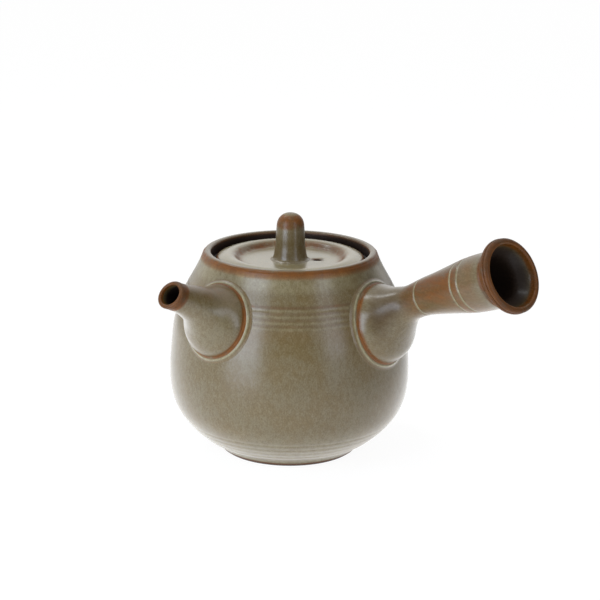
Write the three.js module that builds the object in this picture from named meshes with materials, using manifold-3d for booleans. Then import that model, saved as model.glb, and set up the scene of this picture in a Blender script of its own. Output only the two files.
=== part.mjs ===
// Side-handled stoneware teapot with a sunken lid.
// Millimetres, +Z up. The origin is on the pot's axis, in the plane that it stands on.
// The handle points along +X and the spout along -Y.

import * as THREE from 'three';
import { mergeVertices } from 'three/addons/utils/BufferGeometryUtils.js';
import Module from 'manifold-3d';

const wasm = await Module();
wasm.setup();

// Pot
const bellyRadius = 50;
const bellyHeight = 36;
const footRadius = 28;
const footBevel = 0.7;
const footWaistRadius = 30.5;
const footWaistHeight = 3.2;
const rimRadius = 35.8;
const rimHeight = 85;
const rimThickness = 3;
const rimRounding = 0.9;
const potWall = 3.5;
const floorThickness = 4.5;

// Seat for the lid, inside the rim
const galleryDepth = 5.2;
const seatWidth = 4.2;
const seatThickness = 2.6;

// Turned lines on the pot
const grooveDepth = 0.35;
const shoulderGrooveHeight = 64;
const shoulderGroovePitch = 2.27;
const shoulderGrooveCount = 4;
const footGrooveHeight = 6.8;
const footGroovePitch = 2.5;
const footGrooveCount = 4;

// Lid
const lidRadius = 30.8;
const lidEdgeHeight = 3;
const lidEdgeRounding = 0.7;
const lidCrestRadius = 26.4;
const lidCrestRise = 0.7;
const lidSlopeRadius = 22.6;
const lidDishRadius = 21.2;
const lidDishDepth = 1.8;
const lidPlate = 2.8;
const lidFlangeDepth = 6.5;
const lidFlangeThickness = 2.7;
const lidFlangeClearance = 0.6;
const ventRadius = 1.45;
const ventDistance = 11.2;
const ventTurn = THREE.MathUtils.degToRad(41.3);

// Knob
const knobHeight = 19.8;
const knobRadius = 6;
const knobFootRadius = 8;
const knobFootStep = 0.4;

// Handle
const handleMouthReach = 109;
const handleMouthRise = 7.8;
const handleSetOver = 5.5;
const handleLift = THREE.MathUtils.degToRad(21.4);
const handleLipTilt = THREE.MathUtils.degToRad(4);
const handleLipTurn = THREE.MathUtils.degToRad(-2.5);
const handleRootSink = 10.8;
const handleLength = (handleMouthReach - bellyRadius + handleRootSink) / Math.cos(handleLift);
const handleRootRadius = 16.5;
const handleRootDrop = 6.2;
const handleLipRadius = 15;
const handleLipThickness = 3.9;
const handleHoleRadius = 12.4;
const handleMouthWall = 2.6;
const handleRootWall = 3.2;

// Spout
const spoutMouthReach = 70.7;
const spoutMouthDrop = 5.2;
const spoutLift = THREE.MathUtils.degToRad(24);
const spoutLipTilt = THREE.MathUtils.degToRad(14);
const spoutLipTurn = 0;
const spoutRootSink = 8.1;
const spoutLength = (spoutMouthReach - bellyRadius + spoutRootSink) / Math.cos(spoutLift);
const spoutRootRadius = 15;
const spoutRootDrop = 4;
const spoutLipRadius = 6;
const spoutLipThickness = 2;
const spoutHoleRadius = 4.25;
const spoutMouthWall = 1.6;
const spoutRootWall = 2.6;

// Way from the pot into the spout, and the pierced dome behind it
const wayRadius = 8;
const wayDrop = 17.8;
const wayLift = THREE.MathUtils.degToRad(12);
const strainerRadius = 11.5;
const strainerThickness = 2;
const strainerHoleRadius = 1.1;
const strainerHolePitch = THREE.MathUtils.degToRad(25);
const strainerHoleRows = 3;
const strainerHolesPerRow = 6;

// Coil of slip pressed round each joint
const handleSeamRadius = 2;
const spoutSeamRadius = 1.8;

// Making
const gap = 0.3;
const overrun = 12;
const aroundPot = 44;
const aroundLid = 44;
const aroundKnob = 24;
const aroundHandle = 28;
const aroundSpout = 24;
const aroundSeam = 36;
const aroundCoil = 7;
const aroundHole = 6;
const plainStep = 5;
const mergeShare = 1e-6;

// Outlines, as shares of the sizes named beside them.
// Pot from the foot's waist to the belly: [share of that height, share of that widening]
const lowerBellyShares = [
  [0, 0], [0.04, 0.133], [0.1, 0.3], [0.177, 0.456], [0.3, 0.656], [0.48, 0.862], [0.726, 0.979],
];
// Pot from the belly to the rim: [share of that height, share of the rim-to-belly widening]
const upperBellyShares = [
  [0, 1], [0.204, 0.951], [0.408, 0.873], [0.571, 0.704], [0.694, 0.528], [0.816, 0.282],
  [0.939, 0.07], [1, 0],
];
// Handle from its mouth: [share of its length, share of the root radius, share of the root drop]
const handleShares = [
  [0, 0.7, 0], [0.16, 0.69, 0], [0.27, 0.665, 0], [0.37, 0.597, 0], [0.48, 0.52, 0],
  [0.59, 0.457, 0], [0.67, 0.43, 0.1], [0.72, 0.445, 0.21], [0.77, 0.55, 0.42],
  [0.83, 0.715, 0.74], [0.88, 0.89, 0.98], [0.935, 0.985, 1], [1, 1, 1],
];
// Spout from its mouth, in the same way
const spoutShares = [
  [0, 0.387, 0], [0.1, 0.39, 0], [0.2, 0.4, 0], [0.3, 0.42, 0], [0.4, 0.46, 0.03],
  [0.5, 0.51, 0.1], [0.6, 0.585, 0.28], [0.7, 0.7, 0.5], [0.8, 0.85, 0.78], [0.9, 0.96, 0.95],
  [1, 1, 1],
];
// Lips from the tube to the mouth's face: [shares of the lip's thickness back from the face and
// in from its largest radius]
const handleLipShares = [
  [1.7, 0.89], [1.3, 0.8], [1.02, 0.5], [0.86, 0.2], [0.68, 0.04], [0.48, 0], [0.36, 0.08],
  [0.24, 0.03], [0.08, 0.12], [0, 0.3],
];
const spoutLipShares = [[1.3, 0.08], [0.7, 0.02], [0.4, 0.05], [0.12, 0.24], [0, 0.45]];
// Knob above its foot: [share of the height, share of the radius]
const knobShares = [
  [0.02, 1.24], [0.08, 1.16], [0.17, 1.1], [0.32, 1.03], [0.52, 1], [0.68, 0.965], [0.8, 0.91],
  [0.89, 0.77], [0.95, 0.56], [0.985, 0.31],
];

// A smooth curve through a table of [place, value] rows
function smoothThrough(table, place) {
  const last = table.length - 1;
  const slopeAt = (i) => {
    const before = table[Math.max(i - 1, 0)];
    const after = table[Math.min(i + 1, last)];
    return (after[1] - before[1]) / (after[0] - before[0]);
  };
  const found = table.findIndex((row) => row[0] > place);
  const end = found < 0 ? last : Math.max(found, 1);
  const [start, stop] = [table[end - 1], table[end]];
  const span = stop[0] - start[0];
  const t = THREE.MathUtils.clamp((place - start[0]) / span, 0, 1);
  const [rise, run] = [t * t * (3 - 2 * t), t * (1 - t)];
  const bend = slopeAt(end - 1) * run * (1 - t) - slopeAt(end) * run * t;
  return start[1] + (stop[1] - start[1]) * rise + bend * span;
}

// Pot's outside, as [height, radius] rows from the foot to the rim
const potRows = [
  [0, footRadius],
  ...lowerBellyShares.map(([up, out]) => [
    footWaistHeight + (bellyHeight - footWaistHeight) * up,
    footWaistRadius + (bellyRadius - footWaistRadius) * out,
  ]),
  ...upperBellyShares.map(([up, out]) => [
    bellyHeight + (rimHeight - bellyHeight) * up,
    rimRadius + (bellyRadius - rimRadius) * out,
  ]),
];

const potRadius = (height) => smoothThrough(potRows, height);

// Heights from one to another, evenly spaced, with the first and the last
function heightsBetween(low, high, step) {
  const count = Math.max(1, Math.ceil((high - low) / step));
  return Array.from({ length: count + 1 }, (_, i) => low + ((high - low) * i) / count);
}

// A band of turned lines: [height, depth] rows that dip at each line and rise between
function grooveRows(first, pitch, count) {
  const rows = [[first - pitch / 2, 0]];
  for (let line = 0; line < count; line += 1) {
    rows.push([first + line * pitch, grooveDepth], [first + (line + 0.5) * pitch, 0]);
  }
  return rows;
}

// Outside of the pot with its turned lines, as [height, radius] rows
function groovedPotRows() {
  const foot = grooveRows(footGrooveHeight, footGroovePitch, footGrooveCount);
  const shoulder = grooveRows(shoulderGrooveHeight, shoulderGroovePitch, shoulderGrooveCount);
  const cut = (rows) => rows.map(([height, depth]) => [height, potRadius(height) - depth]);
  const plain = (low, high) =>
    heightsBetween(low, high, plainStep).map((height) => [height, potRadius(height)]);
  return [
    [footWaistHeight / 2, potRadius(footWaistHeight / 2)],
    [footWaistHeight, potRadius(footWaistHeight)],
    ...cut(foot),
    ...plain(foot.at(-1)[0], shoulder[0][0]).slice(1, -1),
    ...cut(shoulder),
    ...plain(shoulder.at(-1)[0], rimHeight - rimRounding).slice(1),
  ];
}

const seatHeight = rimHeight - galleryDepth;
const galleryRadius = rimRadius - rimThickness;
const seatRadius = galleryRadius - seatWidth;
const lidTop = seatHeight + lidEdgeHeight;
const dishHeight = lidTop - lidDishDepth;
const wayHeight = seatHeight - wayDrop;

// Points of a quarter round, from one direction to another round a centre
function roundCorner(radius, height, rounding, from, to, steps) {
  return Array.from({ length: steps + 1 }, (_, i) => {
    const turn = THREE.MathUtils.degToRad(from + ((to - from) * i) / steps);
    return [radius + rounding * Math.cos(turn), height + rounding * Math.sin(turn)];
  });
}

// How fast the pot's outside widens with height
function potSlope(height) {
  const step = potWall / 10;
  return (potRadius(height + step) - potRadius(height - step)) / (2 * step);
}

// Inside of the pot from the seat's underside down to the floor, moved in by an amount.
// Below the belly the wall is measured square to the outside, so that it stays whole there.
function insideRows(inset) {
  const top = seatHeight - seatThickness - potWall / 2;
  const wall = potWall + inset;
  const floor = floorThickness + inset;
  const walls = heightsBetween(bellyHeight, top, 2 * plainStep)
    .reverse()
    .map((height) => [potRadius(height) - wall, height]);
  const bowl = heightsBetween(footWaistHeight, bellyHeight, plainStep)
    .reverse()
    .slice(1)
    .map((height) => {
      const slope = potSlope(height);
      const reach = wall / Math.hypot(1, slope);
      return [potRadius(height) - reach, height + slope * reach];
    })
    .filter(([, height]) => height > floor);
  return [...walls, ...bowl, [footRadius - wall, floor], [0, floor]];
}

// A solid of [radius, height] points turned about the Z axis
function turned(points, around) {
  const outline = points.map(([radius, height]) => new THREE.Vector2(radius, height));
  return solid(new THREE.LatheGeometry(outline, around).rotateX(Math.PI / 2));
}

// A closed mesh as a solid, with its shared corners merged and its faces pointing out
function solid(geometry) {
  const bare = geometry.clone();
  bare.deleteAttribute('normal');
  bare.deleteAttribute('uv');
  const merged = mergeVertices(bare, bellyRadius * mergeShare);
  const places = merged.attributes.position.array;
  const faces = [];
  const index = merged.index.array;
  for (let i = 0; i < index.length; i += 3) {
    const [a, b, c] = index.slice(i, i + 3);
    if (a !== b && b !== c && c !== a) faces.push(a, b, c);
  }
  if (signedVolume(places, faces) < 0) faces.reverse();
  return new wasm.Manifold(new wasm.Mesh({
    numProp: 3,
    vertProperties: new Float32Array(places),
    triVerts: new Uint32Array(faces),
  }));
}

function signedVolume(places, faces) {
  const corner = (i) => new THREE.Vector3().fromArray(places, 3 * faces[i]);
  let sum = 0;
  for (let i = 0; i < faces.length; i += 3) {
    sum += corner(i).dot(corner(i + 1).cross(corner(i + 2))) / 6;
  }
  return sum;
}

// A solid through rings of points, closed on itself like a ring or capped at both ends
function lofted(rings, closed) {
  const around = rings[0].length;
  const points = rings.flat();
  const index = [];
  const bands = closed ? rings.length : rings.length - 1;
  for (let band = 0; band < bands; band += 1) {
    const here = band * around;
    const there = ((band + 1) % rings.length) * around;
    for (let side = 0; side < around; side += 1) {
      const next = (side + 1) % around;
      index.push(here + side, there + side, there + next, here + side, there + next, here + next);
    }
  }
  if (!closed) {
    for (const [ring, turn] of [[0, 1], [rings.length - 1, -1]]) {
      for (let side = 1; side < around - 1; side += 1) {
        const fan = [ring * around, ring * around + side, ring * around + side + 1];
        index.push(...(turn > 0 ? fan : fan.reverse()));
      }
    }
  }
  const geometry = new THREE.BufferGeometry().setFromPoints(points);
  geometry.setIndex(index);
  return solid(geometry);
}

// A tube that leaves the pot: its mouth, its directions and how it swells towards its root
function branch(sizes) {
  const { mouth, yaw, lift, lipTilt, lipTurn, length, rootRadius, rootDrop, shares } = sizes;
  const outward = new THREE.Vector3(
    Math.cos(lift) * Math.cos(yaw), Math.cos(lift) * Math.sin(yaw), Math.sin(lift),
  );
  const across = new THREE.Vector3(-Math.sin(yaw), Math.cos(yaw), 0);
  const upward = outward.clone().cross(across);
  const radii = shares.map((row) => [row[0] * length, row[1] * rootRadius]);
  const drops = shares.map((row) => [row[0] * length, row[2] * rootDrop]);
  const radiusAt = (along) => smoothThrough(radii, along);
  // A point at a distance back from the mouth and from the centre line, at a turn round it
  const pointAt = (along, radius, turn) => {
    const fade = Math.max(0, 1 - along / length);
    const side = across.clone().applyAxisAngle(upward, lipTurn * fade);
    const up = upward.clone().applyAxisAngle(across, -lipTilt * fade);
    return mouth.clone()
      .addScaledVector(outward, -along)
      .addScaledVector(upward, -smoothThrough(drops, along))
      .addScaledVector(side, radius * Math.cos(turn))
      .addScaledVector(up, radius * Math.sin(turn));
  };
  const ringAt = (along, radius, around) =>
    Array.from({ length: around }, (_, i) => pointAt(along, radius, (2 * Math.PI * i) / around));
  return { ...sizes, radiusAt, pointAt, ringAt };
}

const handleBranch = branch({
  mouth: new THREE.Vector3(handleMouthReach, handleSetOver, rimHeight + handleMouthRise),
  yaw: 0,
  lift: handleLift,
  lipTilt: handleLipTilt,
  lipTurn: handleLipTurn,
  length: handleLength,
  rootRadius: handleRootRadius,
  rootDrop: handleRootDrop,
  shares: handleShares,
  lipRadius: handleLipRadius,
  lipThickness: handleLipThickness,
  lipShares: handleLipShares,
  holeRadius: handleHoleRadius,
  mouthWall: handleMouthWall,
  rootWall: handleRootWall,
  around: aroundHandle,
});

const spoutBranch = branch({
  mouth: new THREE.Vector3(0, -spoutMouthReach, rimHeight - spoutMouthDrop),
  yaw: -Math.PI / 2,
  lift: spoutLift,
  lipTilt: spoutLipTilt,
  lipTurn: spoutLipTurn,
  length: spoutLength,
  rootRadius: spoutRootRadius,
  rootDrop: spoutRootDrop,
  shares: spoutShares,
  lipRadius: spoutLipRadius,
  lipThickness: spoutLipThickness,
  lipShares: spoutLipShares,
  holeRadius: spoutHoleRadius,
  mouthWall: spoutMouthWall,
  rootWall: spoutRootWall,
  around: aroundSpout,
});

// The pot's outside as one full solid, grown by a gap, that trims what stands on it
function potEnvelope(grow) {
  const rows = heightsBetween(0, rimHeight, plainStep)
    .map((height) => [potRadius(height) + grow, height]);
  return turned([[0, 0], ...rows, [0, rimHeight]], aroundPot);
}

// The space inside the pot, drawn in by a gap
function potHollow(inset) {
  const rows = insideRows(inset);
  return turned([[0, rows[0][1]], ...rows], aroundPot);
}

// The space that the lid's flange needs on its way in and out, with its clearance
function lidRoom() {
  const radius = seatRadius;
  const bottom = seatHeight - lidFlangeDepth - lidFlangeClearance;
  return turned([[0, bottom], [radius, bottom], [radius, rimHeight], [0, rimHeight]], aroundPot);
}

// Hollow tube of a branch, trimmed to the pot with a gap
function branchTube(tube) {
  const { length, lipRadius, lipThickness, lipShares, holeRadius, around } = tube;
  const lipBack = lipShares[0][0] * lipThickness;
  const stations = tube.shares.map((row) => row[0] * length).filter((along) => along > lipBack);
  const boreTop = lipBack + lipThickness / 2;
  const wallAt = (along) =>
    THREE.MathUtils.lerp(tube.mouthWall, tube.rootWall, Math.min(along / length, 1));
  const outside = [length + overrun, ...stations.toReversed()]
    .map((along) => tube.ringAt(along, tube.radiusAt(along), around));
  const lip = lipShares.map(([back, inward]) =>
    tube.ringAt(back * lipThickness, lipRadius - inward * lipThickness, around));
  const holeEdge = [
    tube.ringAt(0, holeRadius + tube.mouthWall / 4, around),
    tube.ringAt(tube.mouthWall / 4, holeRadius, around),
  ];
  const bore = [...stations.filter((along) => along > boreTop), length + overrun]
    .map((along) => tube.ringAt(along, tube.radiusAt(along) - wallAt(along), around));
  return lofted([...outside, ...lip, ...holeEdge, ...bore], true).subtract(potEnvelope(gap));
}

// A branch's outside as a full solid, grown by a gap, that trims what lies round its root
function branchEnvelope(tube, grow) {
  const alongs = [...tube.shares.map((row) => row[0] * tube.length), tube.length + overrun];
  const rings = alongs.map((along) =>
    tube.ringAt(along, tube.radiusAt(along) + grow, tube.around));
  return lofted(rings, false);
}

// The place where a branch's outside meets the pot, at a turn round the branch
function jointPoint(tube, turn) {
  let [out, inside] = [tube.length / 2, tube.length + overrun];
  const pointAt = (along) => tube.pointAt(along, tube.radiusAt(along), turn);
  const outsidePot = (point) => Math.hypot(point.x, point.y) > potRadius(point.z);
  for (let halving = 0; halving < 24; halving += 1) {
    const middle = (out + inside) / 2;
    if (outsidePot(pointAt(middle))) out = middle;
    else inside = middle;
  }
  return pointAt(out);
}

// Direction straight out of the pot's side at a place on it
function potNormal(point) {
  const reach = Math.hypot(point.x, point.y);
  return new THREE.Vector3(point.x / reach, point.y / reach, -potSlope(point.z)).normalize();
}

// Coil of slip along the joint, trimmed to the pot and to the branch
function seamCoil(tube, coilRadius) {
  const turns = Array.from({ length: aroundSeam }, (_, i) => (2 * Math.PI * i) / aroundSeam);
  const line = turns.map((turn) => jointPoint(tube, turn));
  const rings = line.map((centre, i) => {
    const before = line.at(i - 1);
    const after = line[(i + 1) % line.length];
    const normal = potNormal(centre);
    const side = after.clone().sub(before).cross(normal).normalize();
    return Array.from({ length: aroundCoil }, (_, j) => {
      const turn = (2 * Math.PI * j) / aroundCoil;
      return centre.clone()
        .addScaledVector(normal, coilRadius * Math.cos(turn))
        .addScaledVector(side, coilRadius * Math.sin(turn));
    });
  });
  return lofted(rings, true).subtract(potEnvelope(gap)).subtract(branchEnvelope(tube, gap));
}

// Where the way into the spout crosses the pot's wall, and its direction out of the pot
const wayOut = new THREE.Vector3(0, -Math.cos(wayLift), Math.sin(wayLift));
const wayCentre = new THREE.Vector3(0, potWall - potRadius(wayHeight), wayHeight);

// A round rod from a place along a direction, centred on the place
function rod(centre, direction, radius, length, around) {
  const geometry = new THREE.CylinderGeometry(radius, radius, length, around);
  const turn = new THREE.Quaternion().setFromUnitVectors(new THREE.Vector3(0, 1, 0), direction);
  return solid(geometry.applyQuaternion(turn).translate(centre.x, centre.y, centre.z));
}

function makePotBody() {
  const rows = groovedPotRows().map(([height, radius]) => [radius, height]);
  const outerEdge = roundCorner(
    rimRadius - rimRounding, rimHeight - rimRounding, rimRounding, 0, 90, 3,
  );
  const innerEdge = roundCorner(
    galleryRadius + rimRounding, rimHeight - rimRounding, rimRounding, 90, 180, 3,
  );
  const points = [
    [0, 0],
    [footRadius - footBevel, 0],
    [footRadius, footBevel],
    ...rows.slice(0, -1),
    ...outerEdge,
    ...innerEdge,
    [galleryRadius, seatHeight],
    [seatRadius, seatHeight],
    [seatRadius, seatHeight - seatThickness],
    ...insideRows(0),
  ];
  const way = rod(wayCentre, wayOut, wayRadius, 2 * potWall + overrun, aroundSpout);
  return turned(points, aroundPot).subtract(way);
}

// Pierced dome that keeps the leaves back, fitted to the wall round the way into the spout
function makeStrainer() {
  const inner = strainerRadius - strainerThickness;
  const dome = turned([
    [inner, -potWall], [strainerRadius, -potWall],
    ...roundCorner(0, 0, strainerRadius, 0, 90, 7),
    ...roundCorner(0, 0, inner, 90, 0, 7),
    [inner, -potWall],
  ], aroundKnob);
  const inward = wayOut.clone().negate();
  const holes = [];
  for (let row = 0; row < strainerHoleRows; row += 1) {
    const count = Math.max(1, row * strainerHolesPerRow);
    for (let hole = 0; hole < count; hole += 1) {
      const turn = (2 * Math.PI * hole) / count;
      const lean = row * strainerHolePitch;
      const direction = new THREE.Vector3(
        Math.sin(lean) * Math.cos(turn), Math.sin(lean) * Math.sin(turn), Math.cos(lean),
      );
      const centre = direction.clone().multiplyScalar(strainerRadius);
      holes.push(rod(centre, direction, strainerHoleRadius, strainerRadius, aroundHole));
    }
  }
  const pierced = holes.reduce((shape, hole) => shape.subtract(hole), dome);
  const turn = new THREE.Quaternion().setFromUnitVectors(new THREE.Vector3(0, 0, 1), inward);
  const place = new THREE.Matrix4().compose(wayCentre, turn, new THREE.Vector3(1, 1, 1));
  return pierced.transform(place.elements).intersect(potHollow(gap)).subtract(lidRoom());
}

// Lid with its sunken middle, its locating flange below and its vent
function makeLid() {
  const flangeRadius = seatRadius - lidFlangeClearance;
  const edge = roundCorner(
    lidRadius - lidEdgeRounding, lidTop - lidEdgeRounding, lidEdgeRounding, 0, 90, 2,
  );
  const slopeTop = lidTop + lidCrestRise / 2;
  const points = [
    [0, dishHeight],
    [lidDishRadius, dishHeight],
    [lidSlopeRadius, slopeTop],
    [(lidSlopeRadius + lidCrestRadius) / 2, lidTop + lidCrestRise],
    [lidCrestRadius, lidTop + lidCrestRise],
    [(lidCrestRadius + lidRadius) / 2, slopeTop],
    ...edge.reverse(),
    [lidRadius, seatHeight + lidEdgeRounding],
    [lidRadius - lidEdgeRounding, seatHeight],
    [flangeRadius, seatHeight],
    [flangeRadius, seatHeight - lidFlangeDepth],
    [flangeRadius - lidFlangeThickness, seatHeight - lidFlangeDepth],
    [flangeRadius - lidFlangeThickness, dishHeight - lidPlate],
    [0, dishHeight - lidPlate],
  ];
  const ventCentre = new THREE.Vector3(
    ventDistance * Math.cos(ventTurn), ventDistance * Math.sin(ventTurn), dishHeight,
  );
  const upright = new THREE.Vector3(0, 0, 1);
  const vent = rod(ventCentre, upright, ventRadius, 2 * lidPlate + overrun, 2 * aroundHole);
  return turned(points, aroundLid).subtract(vent);
}

function makeKnob() {
  const points = [
    [0, dishHeight],
    [knobFootRadius, dishHeight],
    [knobFootRadius, dishHeight + knobFootStep],
    ...knobShares.map(([up, out]) => [knobRadius * out, dishHeight + knobHeight * up]),
    [0, dishHeight + knobHeight],
  ];
  return turned(points, aroundKnob);
}

// Colours and finishes
const glaze = { color: 0x7a6f59, roughness: 0.45, metalness: 0 };
const paleGlaze = { color: 0xa8a187, roughness: 0.4, metalness: 0 };
const lidGlaze = { color: 0xaea698, roughness: 0.4, metalness: 0 };
const bareClay = { color: 0x6b4a33, roughness: 0.8, metalness: 0 };

// A solid as a named mesh in its own finish
function piece(name, shape, finish) {
  const { vertProperties, triVerts } = shape.getMesh();
  const geometry = new THREE.BufferGeometry();
  geometry.setAttribute('position', new THREE.BufferAttribute(vertProperties, 3));
  geometry.setIndex(new THREE.BufferAttribute(triVerts, 1));
  geometry.computeVertexNormals();
  const mesh = new THREE.Mesh(geometry, new THREE.MeshStandardMaterial(finish));
  mesh.name = name;
  return mesh;
}

const pot = new THREE.Group();
pot.add(
  piece('pot_body', makePotBody(), glaze),
  piece('spout', branchTube(spoutBranch), glaze),
  piece('spout_seam', seamCoil(spoutBranch, spoutSeamRadius), paleGlaze),
  piece('spout_strainer', makeStrainer(), bareClay),
  piece('handle', branchTube(handleBranch), glaze),
  piece('handle_seam', seamCoil(handleBranch, handleSeamRadius), paleGlaze),
);

const lid = new THREE.Group();
lid.add(
  piece('lid', makeLid(), lidGlaze),
  piece('lid_knob', makeKnob(), lidGlaze),
);

const teapot = new THREE.Group();
teapot.add(pot, lid);

export default teapot;
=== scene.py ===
import math

import bmesh
import bpy
import numpy as np
from bpy.props import FloatProperty, FloatVectorProperty, IntProperty, PointerProperty
from mathutils import Matrix, Quaternion, Vector


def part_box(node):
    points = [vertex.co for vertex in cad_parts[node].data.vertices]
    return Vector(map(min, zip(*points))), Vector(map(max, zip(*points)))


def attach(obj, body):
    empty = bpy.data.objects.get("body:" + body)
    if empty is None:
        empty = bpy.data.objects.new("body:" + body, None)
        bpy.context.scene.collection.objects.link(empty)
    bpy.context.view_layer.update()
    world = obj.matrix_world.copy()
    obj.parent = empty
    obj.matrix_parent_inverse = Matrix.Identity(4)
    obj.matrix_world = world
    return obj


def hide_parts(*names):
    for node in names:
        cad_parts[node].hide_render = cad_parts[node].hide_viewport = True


# Dresses the side-handled stoneware teapot: turned pot and lid, drawn-out handle and spout, satin
# glaze. Metres, +Z up: the pot's axis is the Z axis, the handle points along +X, the spout along -Y.

bl_info = {
    "name": "Side-handled teapot",
    "version": (1, 0, 0),
    "blender": (4, 5, 0),
    "location": "3D View > Sidebar > Teapot",
    "description": "Builds the glazed surfaces of a side-handled teapot and a plain studio for it",
    "category": "Object",
}

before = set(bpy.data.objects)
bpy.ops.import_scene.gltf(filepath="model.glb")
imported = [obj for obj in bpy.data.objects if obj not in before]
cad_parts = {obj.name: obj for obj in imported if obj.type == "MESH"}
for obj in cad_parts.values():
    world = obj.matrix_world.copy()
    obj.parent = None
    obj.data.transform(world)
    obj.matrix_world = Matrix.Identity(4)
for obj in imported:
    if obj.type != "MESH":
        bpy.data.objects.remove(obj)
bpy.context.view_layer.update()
POT_LOW, POT_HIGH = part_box("pot_body")
LID_LOW, LID_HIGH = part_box("lid")
KNOB_LOW, KNOB_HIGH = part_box("lid_knob")

# Outlines as shares of the sizes that they follow.
# Pot from the foot's waist to the belly: share of that height, share of that widening
LOWER_BELLY_SHARES = (
    (0, 0), (0.04, 0.133), (0.1, 0.3), (0.177, 0.456), (0.3, 0.656), (0.48, 0.862), (0.726, 0.979),
)
# Pot from the belly to the rim: share of that height, share of the rim-to-belly widening
UPPER_BELLY_SHARES = (
    (0, 1), (0.204, 0.951), (0.408, 0.873), (0.571, 0.704), (0.694, 0.528), (0.816, 0.282),
    (0.939, 0.07), (1, 0),
)
# Handle and spout from the mouth: share of the length, share of the root radius, of the root drop
HANDLE_SHARES = (
    (0, 0.7, 0), (0.16, 0.69, 0), (0.27, 0.665, 0), (0.37, 0.597, 0), (0.48, 0.52, 0),
    (0.59, 0.457, 0), (0.67, 0.43, 0.1), (0.72, 0.445, 0.21), (0.77, 0.55, 0.42),
    (0.83, 0.715, 0.74), (0.88, 0.89, 0.98), (0.935, 0.985, 1), (1, 1, 1),
)
SPOUT_SHARES = (
    (0, 0.387, 0), (0.1, 0.39, 0), (0.2, 0.4, 0), (0.3, 0.42, 0), (0.4, 0.46, 0.03),
    (0.5, 0.51, 0.1), (0.6, 0.585, 0.28), (0.7, 0.7, 0.5), (0.8, 0.85, 0.78), (0.9, 0.96, 0.95),
    (1, 1, 1),
)
# Lips from the tube to the mouth's face: shares of the lip's thickness back from the face and in
# from its largest radius
HANDLE_LIP_SHARES = (
    (1.9, 0.95), (1.6, 0.9), (1.34, 0.76), (1.14, 0.5), (0.98, 0.22), (0.8, 0.05), (0.62, 0),
    (0.5, 0.03), (0.43, 0.1), (0.36, 0.05), (0.24, 0.04), (0.1, 0.13), (0.01, 0.3), (0, 0.5),
)
SPOUT_LIP_SHARES = (
    (1.6, 0.09), (1.1, 0.05), (0.7, 0.01), (0.42, 0.02), (0.2, 0.12), (0.05, 0.3), (0, 0.52),
)
# Knob above its foot: share of the height, share of the radius
KNOB_SHARES = (
    (-0.02, 1.4), (0.0, 1.38), (0.012, 1.32), (0.03, 1.24), (0.07, 1.17), (0.17, 1.1),
    (0.32, 1.03), (0.52, 1), (0.68, 0.965), (0.8, 0.91), (0.89, 0.77), (0.95, 0.56),
    (0.985, 0.31), (1, 0),
)
# Lid's upper side: share of its radius, share of the crest's rise above the dish
LID_SHARES = (
    (0, 0), (0.6, 0), (0.655, 0.02), (0.69, 0.16), (0.72, 0.48), (0.752, 0.8), (0.795, 0.98),
    (0.855, 0.99), (0.91, 0.85), (0.955, 0.66), (0.982, 0.48), (0.996, 0.25), (1, 0),
)
# Pressed bead across its run: share of its width away from the tube, share of its height
BEAD_SHARES = (
    (-0.62, -0.6), (-0.6, 1.2), (-0.42, 1.62), (-0.22, 1.5), (-0.05, 1.2), (0.08, 1.02),
    (0.22, 0.96), (0.38, 1), (0.56, 0.88), (0.74, 0.6), (0.94, 0.32), (1.16, 0.14), (1.4, 0.03),
    (1.6, -0.15), (1.3, -0.6),
)

# Glaze masks: thin for rust; thick for pale pooled glaze, which also paints bounce light at the pot's foot;
# and bare for dry clay, which also paints shade in the bores and on the handle's bulb and neck
MASKS = ("thin", "thick", "bare")

# Width of the ridge between two turned lines, as a share of a line's
RIDGE_WIDTH = 1.4
# Numbers of faces and rows, and steps between two given points of an outline
PROFILE_STEPS, LIP_STEPS, BEAD_STEPS = 9, 5, 4
KNOB_AROUND, HANDLE_AROUND, SPOUT_AROUND, DOME_AROUND, TRIM_AROUND = 96, 160, 128, 72, 144
WAY_SIDES, VENT_SIDES, STRAINER_SIDES = 48, 32, 24
WALL_ROWS, TUBE_ROWS, BORE_ROWS = 230, 190, 70
# Room that the rows of a turned section leave at a corner, and the lid's above its seat, in metres
CORNER, SEAT_CORNER, LID_CORNER, LID_GAP = 0.0005, 0.0004, 0.0006, 0.00006
# Distance below which points are joined, in metres
SEAM = 1e-6
# Edges sharper than this stay sharp, in degrees
SHARP_ANGLE = 50

# The studio as the glaze mirrors it: where each fade begins and ends
FLOOR_ASIDE, FLOOR_ASIDE_LEFT = (0.07, 0.20), 0.5
FLOOR_AWAY, FLOOR_AWAY_LEFT = (0.08, 0.24), 0.75
WALL_ASIDE = (0.5, 0.9)
WALL_AHEAD = (-0.9, -0.1)
PAPER, PAPER_ON_CAMERA, BLACK = (0.8, 0.8, 0.8, 1), (0.1, 0.1, 0.1, 1), (0, 0, 0, 1)
DAYLIGHT, LEFT_TINT, RIGHT_TINT = (0.93, 0.97, 1.0), (0.73, 0.83, 1.0), (0.77, 0.84, 1.0)


def length(name, description, metres):
    return FloatProperty(
        name=name, description=description, default=metres, unit="LENGTH", precision=5,
    )


def turn(name, description, degrees):
    return FloatProperty(
        name=name, description=description, default=math.radians(degrees), subtype="ANGLE",
    )


def share(name, description, value):
    return FloatProperty(name=name, description=description, default=value, subtype="FACTOR")


def power(name, description, watts):
    return FloatProperty(name=name, description=description, default=watts, unit="POWER")


def location(name, description, metres):
    return FloatVectorProperty(
        name=name, description=description, default=metres, subtype="TRANSLATION", unit="LENGTH",
        precision=5,
    )


def count(name, description, value):
    return IntProperty(name=name, description=description, default=value, min=1)


def linear(red, green, blue):
    """Linear colour of screen values from 0 to 255."""
    values = [value / 255 for value in (red, green, blue)]
    return tuple(v / 12.92 if v <= 0.04045 else ((v + 0.055) / 1.055) ** 2.4 for v in values)


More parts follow.
